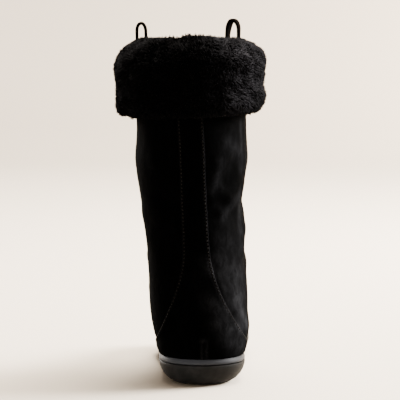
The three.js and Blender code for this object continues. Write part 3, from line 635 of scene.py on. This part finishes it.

# Brushed suede: dead black and matt, with paler clouds where the nap lies another way, paler patches of
# brushed nap and painted light where the key lamp falls, and a soft sheen where light grazes it. The real
# fibres are too fine to show, so the nap is drawn about 0.8 mm coarse.
suede, tree, shader, place = new_material("suede_sheep_brushed", {
    "IOR": 1.45, "Specular IOR Level": 0.003, "Sheen Weight": 0.003, "Sheen Roughness": 0.4,
    "Sheen Tint": linear("D9D8DE")})
drawn_down = add_node(tree, "Mapping", {"Scale": (1, 1, 0.62)}, {"Vector": place})
clouds = add_node(tree, "TexNoise",
                  {"Scale": 1 / (14 * MM), "Detail": 3, "Roughness": 0.5, "Distortion": 0.4},
                  {"Vector": drawn_down.outputs[0]})
strokes = add_node(tree, "TexNoise",
                   {"Scale": 1 / (5 * MM), "Detail": 5, "Roughness": 0.62, "Distortion": 0.5},
                   {"Vector": drawn_down.outputs[0]})
nap = add_node(tree, "TexNoise", {"Scale": 1 / (0.8 * MM), "Detail": 3, "Roughness": 0.7},
               {"Vector": place})
cloudy = add_node(tree, "MapRange", {"From Min": 0.34, "From Max": 0.74, "To Max": 0.15},
                  {"Value": clouds.outputs["Fac"]})
spotted = add_node(tree, "MapRange", {"From Min": 0.34, "From Max": 0.68, "To Min": 0.35, "To Max": 1.2},
                   {"Value": strokes.outputs["Fac"]})
# Painted light and brushed nap, read from the mesh's nap attribute.
nap_and_painted_light = add_node(tree, "Attribute", {"attribute_name": "nap"}, {})
both = add_node(tree, "Math", {"operation": "ADD"}, {0: cloudy.outputs["Result"], 1: nap_and_painted_light.outputs["Fac"]})
share = add_node(tree, "Math", {"operation": "MULTIPLY", "use_clamp": True},
                 {0: both.outputs[0], 1: spotted.outputs["Result"]})
tone = add_node(tree, "Mix", {"data_type": "RGBA", 6: linear(SUEDE_BLACK), 7: linear(SUEDE_BRUSHED_AND_LIT)},
                {0: share.outputs[0]})
matt = add_node(tree, "MapRange", {"To Min": 0.8, "To Max": 1.0}, {"Value": strokes.outputs["Fac"]})
soft_relief = add_node(tree, "Bump", {"Strength": 0.5, "Distance": 0.5 * MM},
                       {"Height": strokes.outputs["Fac"]})
nap_relief = add_node(tree, "Bump", {"Strength": 0.6, "Distance": 0.25 * MM},
                      {"Height": nap.outputs["Fac"], "Normal": soft_relief.outputs["Normal"]})
feed(tree, shader, tone, matt, nap_relief)
upper.data.materials.append(suede)
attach(upper, "root")
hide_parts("upper")

# Back stay: one piece of the same suede, a narrow strip up the back that spreads into the heel counter.
# It is laid on the quarters, stitched down just inside both edges, and has a short sewn dart at the heel.
# All its sizes are in mm.
STAY_TOP = 230.5
STAY_BOTTOM = 23.9
STAY_THICK = 1.0
STAY_OFF = 0.12
STAY_ROWS = 290
ARC_STEPS = 160
# The edge as drawn from behind: half the width and the middle at each height. What lies farther forward
# than the back is drawn higher by its fall.
STAY_EDGE = {
    "z": [-70.8, 28.8, 46.7, 58.4, 70.7, 79.6, 93.4, 107.7, 120.8, 136.1, 169.8, 195.6, 230.6],
    "half": [86.1, 53.3, 36.9, 29.5, 23.2, 19.4, 14.9, 12.0, 11.2, 10.9, 10.8, 10.8, 10.8],
    "middle": [0, -0.2, -1.3, -2.3, -3.3, -3.7, -4.3, -4.7, -5.3, -6.1, -7.7, -8.6, -10.3],
}
STAY_FALL = 0.27
STAY_BACK = -35
EDGE_COLUMNS = [0, 0.3, 0.7, 1.2, 1.7, 2.3, 2.9, 3.6, 4.6]
MIDDLE_COLUMNS = 24
STITCH_INSET = 1.7
STITCH_PITCH = 3.2
STITCH_COLUMN = EDGE_COLUMNS.index(STITCH_INSET)
DART_TOP = 39
DART_GROOVE_X = 1.5
DART_RIDGES_X = (-0.2, 3.3)
DART_KNOT = (0.9, 39.5)


def on_upper(turn, z):
    """The point of the upper's outer face at a turn from the back, in mm."""
    across = np.interp(z * MM, middle_heights, middle_xs)
    away = Vector((math.sin(turn), -math.cos(turn), 0))
    hit = upper_surface.ray_cast(Vector((across, 20 * MM, z * MM)) + away * 0.15, -away)[0]
    return np.array(hit) / MM


def past_edge(point):
    """How far a point of the upper is past the stay's edge, in mm."""
    drawn = point[2] + STAY_FALL * (point[1] - STAY_BACK)
    middle = smooth_curve(STAY_EDGE["z"], STAY_EDGE["middle"], drawn)
    return abs(point[0] - middle) - smooth_curve(STAY_EDGE["z"], STAY_EDGE["half"], drawn)


def edge_turn(side, z):
    """The turn at which the stay's edge lies at a height."""
    low, high = 0.0, math.radians(115)
    for _ in range(24):
        middle = (low + high) / 2
        if past_edge(on_upper(side * middle, z)) < 0:
            low = middle
        else:
            high = middle
    return side * low


stay_heights = np.linspace(STAY_BOTTOM, STAY_TOP, STAY_ROWS)
stay_grid, stay_edge_away = [], []
for z in stay_heights:
    turns = np.linspace(edge_turn(-1, z), edge_turn(1, z), ARC_STEPS)
    arc = np.array([on_upper(t, z) for t in turns])
    run = run_along(arc)
    width = run[-1]
    half = width / 2 - EDGE_COLUMNS[-1]
    spread = np.linspace(-1, 1, 2 * MIDDLE_COLUMNS + 1)[1:-1]
    power = 1 + 0.7 * min(max((half - 6) / 30, 0), 1)
    middle = width / 2 + half * np.sign(spread) * np.abs(spread) ** power
    at = np.r_[EDGE_COLUMNS, middle, width - np.array(EDGE_COLUMNS)[::-1]]
    stay_grid.append(np.stack([np.interp(at, run, arc[:, k]) for k in range(3)], axis=1))
    stay_edge_away.append(np.minimum(at, width - at))
stay_grid, stay_edge_away = np.array(stay_grid), np.array(stay_edge_away)
stay_out = unit(np.cross(np.gradient(stay_grid, axis=1), np.gradient(stay_grid, axis=0)))
rise = np.sqrt(np.clip(stay_edge_away / 0.9, 0, 1)) * STAY_THICK
# Low on the counter the edge is skived thinner.
rise *= 1 - 0.4 * np.clip((70 - stay_grid[..., 2]) / 30, 0, 1) * np.exp(-stay_edge_away / 6)
# The row of stitches is sunk, and each needle hole pulls the suede in a little more.
hole_depth = np.empty(stay_edge_away.shape)
half_way = len(EDGE_COLUMNS) + MIDDLE_COLUMNS
stitch_columns = (STITCH_COLUMN, -1 - STITCH_COLUMN)
for columns, column in zip((slice(None, half_way), slice(half_way, None)), stitch_columns):
    phase = 2 * math.pi * run_along(stay_grid[:, column]) / STITCH_PITCH
    hole_depth[:, columns] = (0.5 - 0.5 * np.cos(phase))[:, None]
rise -= (0.25 + 0.35 * hole_depth) * ridge(stay_edge_away - STITCH_INSET, 0.8)
rise += (0.2 - 0.12 * hole_depth) * ridge(stay_edge_away - EDGE_COLUMNS[-1], 1.4)
height_now = stay_grid[..., 2]
bottom_away = (height_now - STAY_BOTTOM) / 0.8
rise *= np.where(bottom_away < 1, 0.55 + 0.45 * np.clip(bottom_away, 0, 1), 1)
dart_share = np.clip((DART_TOP - height_now) / 3, 0, 1)
dart_x = stay_grid[..., 0]
dart_ridges = dart_share * (ridge(dart_x - DART_RIDGES_X[0], 1) + 0.8 * ridge(dart_x - DART_RIDGES_X[1], 1))
dart_knot = ridge(np.hypot(dart_x - DART_KNOT[0], (height_now - DART_KNOT[1]) * 1.3), 2.8)
rise += dart_ridges - 0.8 * dart_share * ridge(dart_x - DART_GROOVE_X, 0.8) + 0.9 * dart_knot
rise = np.maximum(rise, 0.25) + 0.2
stay_outer = (stay_grid + stay_out * rise[..., None]) * MM
stay_inner = (stay_grid + stay_out * STAY_OFF) * MM
rows, columns = stay_grid.shape[:2]
count = rows * columns
stay_faces = []
for i in range(rows - 1):
    for j in range(columns - 1):
        a = i * columns + j
        stay_faces.append((a, a + 1, a + columns + 1, a + columns))
        stay_faces.append((count + a, count + a + columns, count + a + columns + 1, count + a + 1))
rim = [(0, j) for j in range(columns)] + [(i, columns - 1) for i in range(1, rows)]
rim += [(rows - 1, j) for j in range(columns - 2, -1, -1)] + [(i, 0) for i in range(rows - 2, 0, -1)]
rim = [i * columns + j for i, j in rim]
for a, b in zip(rim, rim[1:] + rim[:1]):
    stay_faces.append((b, a, count + a, count + b))
stay_points = np.vstack([stay_outer.reshape(-1, 3), stay_inner.reshape(-1, 3)])
stay = new_piece("back_stay_suede", new_mesh("back_stay_suede", stay_points, stay_faces), suede)
# Its edges, the row of stitches and the dart's ridges are painted a little paler: partly wear, partly a
# painted highlight where they catch the light.
wear_and_painted_highlight = 1.1 * np.maximum(dart_ridges, dart_knot) + 0.35 * ridge(stay_edge_away - 0.5, 0.7)
wear_and_painted_highlight += 0.3 * (1 - hole_depth) * ridge(stay_edge_away - STITCH_INSET, 1.5)
paint_nap_and_light(stay.data, upper_surface, BRUSHED_AND_PAINTED_LIGHT, np.r_[wear_and_painted_highlight.ravel(), wear_and_painted_highlight.ravel()])
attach(stay, "root")
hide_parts("back_stay")

# Stitching: two rows of bonded black thread, one along each edge of the stay. Each stitch is a small arch
# of thread between two needle holes, a little shinier than the suede.
THREAD_BLACK = "0C0B0B"
THREAD_RADIUS = 0.58
THREAD_SIDES = 6
STITCH_LENGTH = 2.2
# Along a stitch: the share of its length, how far it stands out in mm, and the share of its radius.
STITCH_SHAPE = [(-0.5, -0.5, 0.45), (-0.38, -0.05, 0.9), (0, 0.12, 1), (0.38, -0.05, 0.9), (0.5, -0.5, 0.45)]


def add_stitches(line, out, points, faces):
    """Arched stitches of six-sided thread along a line in mm, added to points and faces."""
    run = run_along(line)
    for at in np.arange(STITCH_PITCH, run[-1] - STITCH_PITCH, STITCH_PITCH):
        stations = at + STITCH_LENGTH * np.array([share for share, _, _ in STITCH_SHAPE])
        middle = np.stack([np.interp(stations, run, line[:, k]) for k in range(3)], axis=1)
        up = np.stack([np.interp(at, run, out[:, k]) for k in range(3)])
        beside = np.cross(unit(middle[-1] - middle[0]), up)
        start = len(points)
        for at_middle, (_, stands, size) in zip(middle, STITCH_SHAPE):
            for j in range(THREAD_SIDES):
                turn = 2 * math.pi * j / THREAD_SIDES
                points.append(at_middle + up * (stands + THREAD_RADIUS * size * math.sin(turn))
                              + beside * THREAD_RADIUS * size * math.cos(turn))
        for a, b, c, d in tube_faces(len(STITCH_SHAPE), THREAD_SIDES, False):
            faces.append((start + a, start + d, start + c, start + b))
        faces.append(tuple(range(start, start + THREAD_SIDES)))
        faces.append(tuple(range(len(points) - 1, len(points) - 1 - THREAD_SIDES, -1)))


thread_points, thread_faces = [], []
for column in stitch_columns:
    line = stay_grid[:, column] + stay_out[:, column] * (rise[:, column] + 0.1)[:, None]
    add_stitches(line, stay_out[:, column], thread_points, thread_faces)
stitches = new_piece("stay_stitches", new_mesh("stay_stitches", np.array(thread_points) * MM, thread_faces))
# Bonded nylon thread: smooth and slightly waxy, with the fine slant of its twist.
thread, tree, shader, place = new_material("thread_bonded_nylon", {
    "IOR": 1.53, "Roughness": 0.6, "Specular IOR Level": 0.05, "Base Color": linear(THREAD_BLACK)})
twist_place = add_node(tree, "Mapping", {"Rotation": (0, math.radians(35), 0)}, {"Vector": place})
twist = add_node(tree, "TexWave", {"Scale": 1 / (2.2 * MM), "Distortion": 1},
                 {"Vector": twist_place.outputs[0]})
relief = add_node(tree, "Bump", {"Strength": 0.4, "Distance": 0.1 * MM}, {"Height": twist.outputs["Fac"]})
feed(tree, shader, None, None, relief)
stitches.data.materials.append(thread)
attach(stitches, "root")

# Lining: the wool side of the same hide, clipped short, all over the inside of the shaft and the vamp.
# The footbed is a loose insole faced with the same fleece.
LINING_TOP = 259 * MM
LINING_FOOT = 7 * MM
LINING_THICK = 3.4 * MM
FLEECE_DEEP = "030303"
FLEECE_TIPS = "100E0E"
# Clipped wool: dead matt and curly, black between the curls, with fibres drawn 0.9 mm coarse to show.
fleece, tree, shader, place = new_material("fleece_clipped_wool", {
    "Specular IOR Level": 0.01, "Sheen Weight": 0.01, "Sheen Roughness": 0.5, "Sheen Tint": linear("D8D4D2")})
curls = add_node(tree, "TexNoise",
                 {"Scale": 1 / (3.5 * MM), "Detail": 4, "Roughness": 0.7, "Distortion": 1.2},
                 {"Vector": place})
fibres = add_node(tree, "TexNoise", {"Scale": 1 / (0.9 * MM), "Detail": 3}, {"Vector": place})
tone = add_node(tree, "Mix", {"data_type": "RGBA", 6: linear(FLEECE_DEEP), 7: linear(FLEECE_TIPS)},
                {0: curls.outputs["Fac"]})
matt = add_node(tree, "MapRange", {"To Min": 0.85, "To Max": 1.0}, {"Value": fibres.outputs["Fac"]})
curl_relief = add_node(tree, "Bump", {"Strength": 0.9, "Distance": 1.2 * MM},
                       {"Height": curls.outputs["Fac"]})
relief = add_node(tree, "Bump", {"Strength": 0.7, "Distance": 0.4 * MM},
                  {"Height": fibres.outputs["Fac"], "Normal": curl_relief.outputs["Normal"]})
feed(tree, shader, tone, matt, relief)
points, normals = read_shape(inner_wall.data)
outside = faces_out(points, normals)
wall = bmesh.new()
wall.from_mesh(inner_wall.data)
wall.verts.ensure_lookup_table()
spare = outside | (points[:, 2] > LINING_TOP) | (points[:, 2] < sole_top(points[:, 1]) + LINING_FOOT)
bmesh.ops.delete(wall, geom=[v for v in wall.verts if spare[v.index]], context="VERTS")
bmesh.ops.delete(wall, geom=[v for v in wall.verts if not v.link_faces], context="VERTS")
wall.to_mesh(inner_wall.data)
wall.free()
points, normals = read_shape(inner_wall.data)
woolly = bumps(points, 7 * MM, 5) * 0.5 * MM + bumps(points, 3 * MM, 6) * 0.5 * MM
write_points(inner_wall.data, points + normals * (LINING_THICK + woolly)[:, None])
apply_modifier(inner_wall, "SOLIDIFY", {"thickness": LINING_THICK - 0.7 * MM, "offset": -1})
inner_wall.data.shade_smooth()
inner_wall.data.materials.append(fleece)
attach(inner_wall, "root")

footbed = node_copy("footbed", "footbed_fleece")
apply_modifier(footbed, "BEVEL", {"width": 1.2 * MM, "segments": 2, "limit_method": "ANGLE"})
apply_modifier(footbed, "TRIANGULATE", {})
apply_modifier(footbed, "REMESH", {"mode": "VOXEL", "voxel_size": 1.6 * MM})
points, normals = read_shape(footbed.data)
top_share = np.clip(normals[:, 2], 0, 1)
woolly = (bumps(points, 6 * MM, 8) * 0.45 + bumps(points, 2.6 * MM, 9) * 0.35) * MM * top_share
write_points(footbed.data, points + normals * woolly[:, None])
footbed.data.shade_smooth()
footbed.data.materials.append(fleece)
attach(footbed, "root")
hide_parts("footbed")

# Cuff: the top of the hide turned down with its long dyed wool outwards, in a soft roll over the rim.
# The wool is 37,000 small curved locks that lean together in clumps and hang a little.
CUFF_VOXEL = 2.4 * MM
CUFF_MIDDLE_Z = 260 * MM
WOOL_SUNK = 2.6 * MM
LOCKS_PER_PIECE = 18500
LOCK_LENGTH = 4.3 * MM
LOCK_RADIUS = 0.85 * MM
LOCK_HANG = 0.3
LOCK_LEAN = 0.55
WOOL_BLACK = "0A0A0A"
WOOL_BRUSHED_AND_LIT = "4A484C"
# Dents of the roll, and where its wool is painted paler, as brushed-up wool and as painted light on the right
# end and the side that the key lamp lights, in the columns of the upper's folds.
CUFF_DENTS = [
    ("inner", [(-5, 229), (27, 228), (60, 230)], 12, -4.2),
    ("inner", [(0, 291), (27, 292), (55, 291)], 9, -1.5),
    ("outer", [(-20, 264), (27, 264), (60, 264)], 12, -1.4),
    ("outer", [(8, 231), (45, 231)], 8, 1.4),
    ("back", [(-9, 291), (-1, 291)], 13, 2.4),
    ("back", [(-27, 291), (-22, 291)], 6, -0.8),
    ("back", [(-41, 289), (-35, 290)], 9, 1.8),
]
CUFF_BRUSHED_AND_PAINTED_LIGHT = [
    ("back", [(52, 280), (54, 240)], 24, 0.62),
    ("inner", [(10, 262), (70, 264)], 22, 0.55),
    ("front", [(30, 268), (-20, 262)], 14, 0.3),
    ("outer", [(20, 272), (60, 258)], 15, 0.3),
]
# Dyed wool: deep black and matt, with paler tips in clumps where it is brushed up and where light is painted
# on its lit side, and a faint soft sheen.
shearling, tree, shader, place = new_material("shearling_dyed_long_wool", {
    "Specular IOR Level": 0.01, "Roughness": 1, "Sheen Weight": 0.015, "Sheen Roughness": 0.5,
    "Sheen Tint": linear("DCD6DA")})
clumps = add_node(tree, "TexNoise", {"Scale": 1 / (8 * MM), "Detail": 3, "Roughness": 0.6},
                  {"Vector": place})
locks = add_node(tree, "TexNoise", {"Scale": 1 / (2.6 * MM), "Detail": 3, "Roughness": 0.6},
                 {"Vector": place})
mixed = add_node(tree, "Math", {"operation": "MULTIPLY"},
                 {0: clumps.outputs["Fac"], 1: locks.outputs["Fac"]})
picked = add_node(tree, "MapRange", {"From Min": 0.08, "From Max": 0.46, "To Min": 0.2, "To Max": 0.85},
                  {"Value": mixed.outputs[0]})
# Painted light and brushed-up wool, read from the mesh's nap attribute.
nap_and_painted_light = add_node(tree, "Attribute", {"attribute_name": "nap"}, {})
opened_and_lit = add_node(tree, "MapRange", {"To Min": 0.12, "To Max": 1.1}, {"Value": nap_and_painted_light.outputs["Fac"]})
share = add_node(tree, "Math", {"operation": "MULTIPLY", "use_clamp": True},
                 {0: picked.outputs["Result"], 1: opened_and_lit.outputs["Result"]})
tone = add_node(tree, "Mix", {"data_type": "RGBA", 6: linear(WOOL_BLACK), 7: linear(WOOL_BRUSHED_AND_LIT)},
                {0: share.outputs[0]})
relief = add_node(tree, "Bump", {"Strength": 0.4, "Distance": 0.5 * MM}, {"Height": locks.outputs["Fac"]})
feed(tree, shader, tone, None, relief)

cuff = node_copy("cuff", "cuff_hide")
apply_modifier(cuff, "TRIANGULATE", {})
apply_modifier(cuff, "REMESH", {"mode": "VOXEL", "voxel_size": CUFF_VOXEL})
apply_modifier(cuff, "SMOOTH", {"factor": 0.5, "iterations": 9})
points, normals = read_shape(cuff.data)


def open_air(points, normals, reach):
    """1 where nothing of the upper stands within reach in front of a point, and 0 where it does."""
    share = np.ones(len(points))
    for k, (p, n) in enumerate(zip(points, normals)):
        if upper_surface.ray_cast(Vector(p) + Vector(n) * 0.2 * MM, Vector(n), reach)[0] is not None:
            share[k] = 0
    return share


airy = open_air(points, normals, 7 * MM)
lumps = bumps(points, 13 * MM, 11) * 0.8 * MM + bumps(points, 6 * MM, 12) * 0.5 * MM
cuff_surface = surface_of(cuff.data)
for view, line, half_width, height in CUFF_DENTS:
    lumps += height * MM * soft_band(points, cuff_surface, view, line, half_width)
write_points(cuff.data, points + normals * ((lumps - WOOL_SUNK) * airy)[:, None])
cuff.data.shade_smooth()
cuff_surface = surface_of(cuff.data)
paint_nap_and_light(cuff.data, cuff_surface, CUFF_BRUSHED_AND_PAINTED_LIGHT)
cuff.data.materials.append(shearling)
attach(cuff, "root")
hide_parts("cuff")

# The locks root all over the cuff's hide where it is in the open, and their clumps follow a soft noise.
rng = np.random.default_rng(11)
points, normals = read_shape(cuff.data)
corners = np.array([tuple(f.vertices) for f in cuff.data.polygons if len(f.vertices) == 4])
quads = points[corners]
areas = np.linalg.norm(np.cross(quads[:, 2] - quads[:, 0], quads[:, 3] - quads[:, 1]), axis=1) / 2
airy = open_air(points, normals, 5 * MM)
areas = areas * airy[corners].min(axis=1)
areas /= areas.sum()
lock_total = 2 * LOCKS_PER_PIECE
chosen = rng.choice(len(corners), size=lock_total, p=areas)
u, v = rng.random(lock_total)[:, None], rng.random(lock_total)[:, None]
weights = [(1 - u) * (1 - v), u * (1 - v), u * v, (1 - u) * v]
roots = sum(w * points[corners[chosen, k]] for k, w in enumerate(weights))
root_out = unit(sum(w * normals[corners[chosen, k]] for k, w in enumerate(weights)))
swirl = np.stack([bumps(roots, 9 * MM, seed) for seed in (21, 22, 23)], axis=1)
swirl += 0.5 * np.stack([bumps(roots, 3.6 * MM, seed) for seed in (31, 32, 33)], axis=1)
lean = swirl * 0.85 + rng.normal(0, 0.18, (lock_total, 3)) + np.array([0, 0, -LOCK_HANG])
lean -= np.sum(lean * root_out, axis=1)[:, None] * root_out
lock_way = unit(root_out + lean * LOCK_LEAN)
length = LOCK_LENGTH * rng.uniform(0.7, 1.15, lock_total)[:, None]
radius = LOCK_RADIUS * rng.uniform(0.75, 1.2, lock_total)[:, None]
beside = unit(np.cross(lock_way, rng.normal(0, 1, (lock_total, 3))))
third = np.cross(lock_way, beside)
bend = lean * 0.5 * length
ring_low = roots - lock_way * 0.9 * MM
ring_high = roots + lock_way * length * 0.5 + bend * 0.35
tips = roots + lock_way * length * 0.95 + bend
lock_points = np.empty((lock_total, 7, 3))
for k in range(3):
    turn = 2 * math.pi * k / 3
    spoke = beside * math.cos(turn) + third * math.sin(turn)
    lock_points[:, k] = ring_low + spoke * radius
    lock_points[:, 3 + k] = ring_high + spoke * radius * 0.8
lock_points[:, 6] = tips
lock_faces = np.array([(2, 1, 0), (0, 1, 4), (0, 4, 3), (1, 2, 5), (1, 5, 4),
                       (2, 0, 3), (2, 3, 5), (3, 4, 6), (4, 5, 6), (5, 3, 6)])
cuff_middle_x = np.interp(CUFF_MIDDLE_Z, middle_heights, middle_xs)
order = np.argsort(np.arctan2(roots[:, 0] - cuff_middle_x, LEG_MIDDLE_Y - roots[:, 1]))
halves = {"cuff_wool_outer": order[:LOCKS_PER_PIECE], "cuff_wool_inner": order[LOCKS_PER_PIECE:]}
for name, part in halves.items():
    some = lock_points[part].reshape(-1, 3)
    faces = (lock_faces[None] + 7 * np.arange(len(part))[:, None, None]).reshape(-1, 3)
    mesh = bpy.data.meshes.new(name)
    mesh.vertices.add(len(some))
    mesh.vertices.foreach_set("co", some.ravel())
    mesh.loops.add(faces.size)
    mesh.loops.foreach_set("vertex_index", faces.ravel())
    mesh.polygons.add(len(faces))
    mesh.polygons.foreach_set("loop_start", np.arange(0, faces.size, 3))
    mesh.update(calc_edges=True)
    mesh.shade_smooth()
    paint_nap_and_light(mesh, cuff_surface, CUFF_BRUSHED_AND_PAINTED_LIGHT)
    wool = new_piece(name, mesh, shearling)
    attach(wool, "root")

# Pull loops: a doubled strap of dark woven tape at each side, its ends sewn inside the cuff's roll. The
# inner one is turned, so that one leg shows broad and the other thin. Sizes in mm and turns in radians.
TAPE_THICK = 2.8
TAPE_WIDTH = 7
TAPE_SIDES = 20
TAPE_BLACK = "110E0C"
TAPE_RAISED = "1B1613"
CUFF_TOP = 293.5
LOOP_SUNK = 11
LOOP_Y = 27.5
ARCH_STEPS = 24
ARCH_SHARE = 0.75
LOOPS = [
    {"name": "pull_loop_outer", "middle": -52.2, "spread": 10.5, "rise": 13.5, "twist": 0.05, "lean": -0.25},
    {"name": "pull_loop_inner", "middle": 26.5, "spread": 12.8, "rise": 16.2, "twist": -0.46, "lean": 0.35},
]
# Woven tape: matt, with fine ribs about half a millimetre apart, both along and across it.
tape, tree, shader, place = new_material("tape_woven_polyester", {
    "IOR": 1.5, "Roughness": 0.9, "Specular IOR Level": 0.003})
weave = add_node(tree, "TexWave", {"Scale": 1 / (1.4 * MM), "bands_direction": "Z", "Distortion": 0.4},
                 {"Vector": place})
ribs = add_node(tree, "TexWave", {"Scale": 1 / (1.8 * MM), "bands_direction": "Y"}, {"Vector": place})
mixed = add_node(tree, "Math", {"operation": "MULTIPLY"}, {0: weave.outputs["Fac"], 1: ribs.outputs["Fac"]})
tone = add_node(tree, "Mix", {"data_type": "RGBA", 6: linear(TAPE_BLACK), 7: linear(TAPE_RAISED)},
                {0: mixed.outputs[0]})
relief = add_node(tree, "Bump", {"Strength": 0.6, "Distance": 0.2 * MM}, {"Height": mixed.outputs[0]})
feed(tree, shader, tone, None, relief)
section = []
for k in range(TAPE_SIDES):
    turn = 2 * math.pi * k / TAPE_SIDES
    c, s = math.cos(turn), math.sin(turn)
    thick = abs(c) ** 0.7 * math.copysign(TAPE_THICK / 2, c)
    section.append((thick, abs(s) ** 0.35 * math.copysign(TAPE_WIDTH / 2, s)))
for loop in LOOPS:
    half = loop["spread"] / 2 - TAPE_THICK / 2
    top = loop["rise"] - TAPE_THICK / 2
    arch = loop["spread"] * ARCH_SHARE
    leg = [(half, z) for z in np.linspace(-LOOP_SUNK, top - arch, 9)[:-1]]
    path = leg.copy()
    for i in range(ARCH_STEPS + 1):
        turn = math.pi * i / ARCH_STEPS
        path.append((half * math.cos(turn), top - (1 - math.sin(turn) ** 0.85) * arch))
    path = np.array(path + [(-x, z) for x, z in leg[::-1]])
    run = unit(np.gradient(path, axis=0))
    side = np.stack([run[:, 1], -run[:, 0]], axis=1)
    strap_points = []
    for (x, z), (sx, sz) in zip(path, side):
        rise_share = max(z, 0) / loop["rise"]
        turned = loop["twist"] * (0.6 + 0.8 * rise_share) * (1 - 0.45 * x / half)
        for thick, py in section:
            px = x + sx * thick
            strap_points.append((
                loop["middle"] + px * math.cos(turned) - py * math.sin(turned) + loop["lean"] * rise_share,
                LOOP_Y + px * math.sin(turned) + py * math.cos(turned),
                CUFF_TOP + z + sz * thick,
            ))
    strap_faces = tube_faces(len(path), TAPE_SIDES, False)
    strap_faces.append(tuple(range(TAPE_SIDES - 1, -1, -1)))
    strap_faces.append(tuple(range(len(strap_points) - TAPE_SIDES, len(strap_points))))
    mesh = new_mesh(loop["name"] + "_tape", np.array(strap_points) * MM, strap_faces)
    strap = new_piece(loop["name"] + "_tape", mesh, tape)
    only(strap)
    bpy.ops.object.mode_set(mode="EDIT")
    bpy.ops.mesh.select_all(action="SELECT")
    bpy.ops.mesh.normals_make_consistent(inside=False)
    bpy.ops.object.mode_set(mode="OBJECT")
    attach(strap, "root")
    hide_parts(loop["name"])
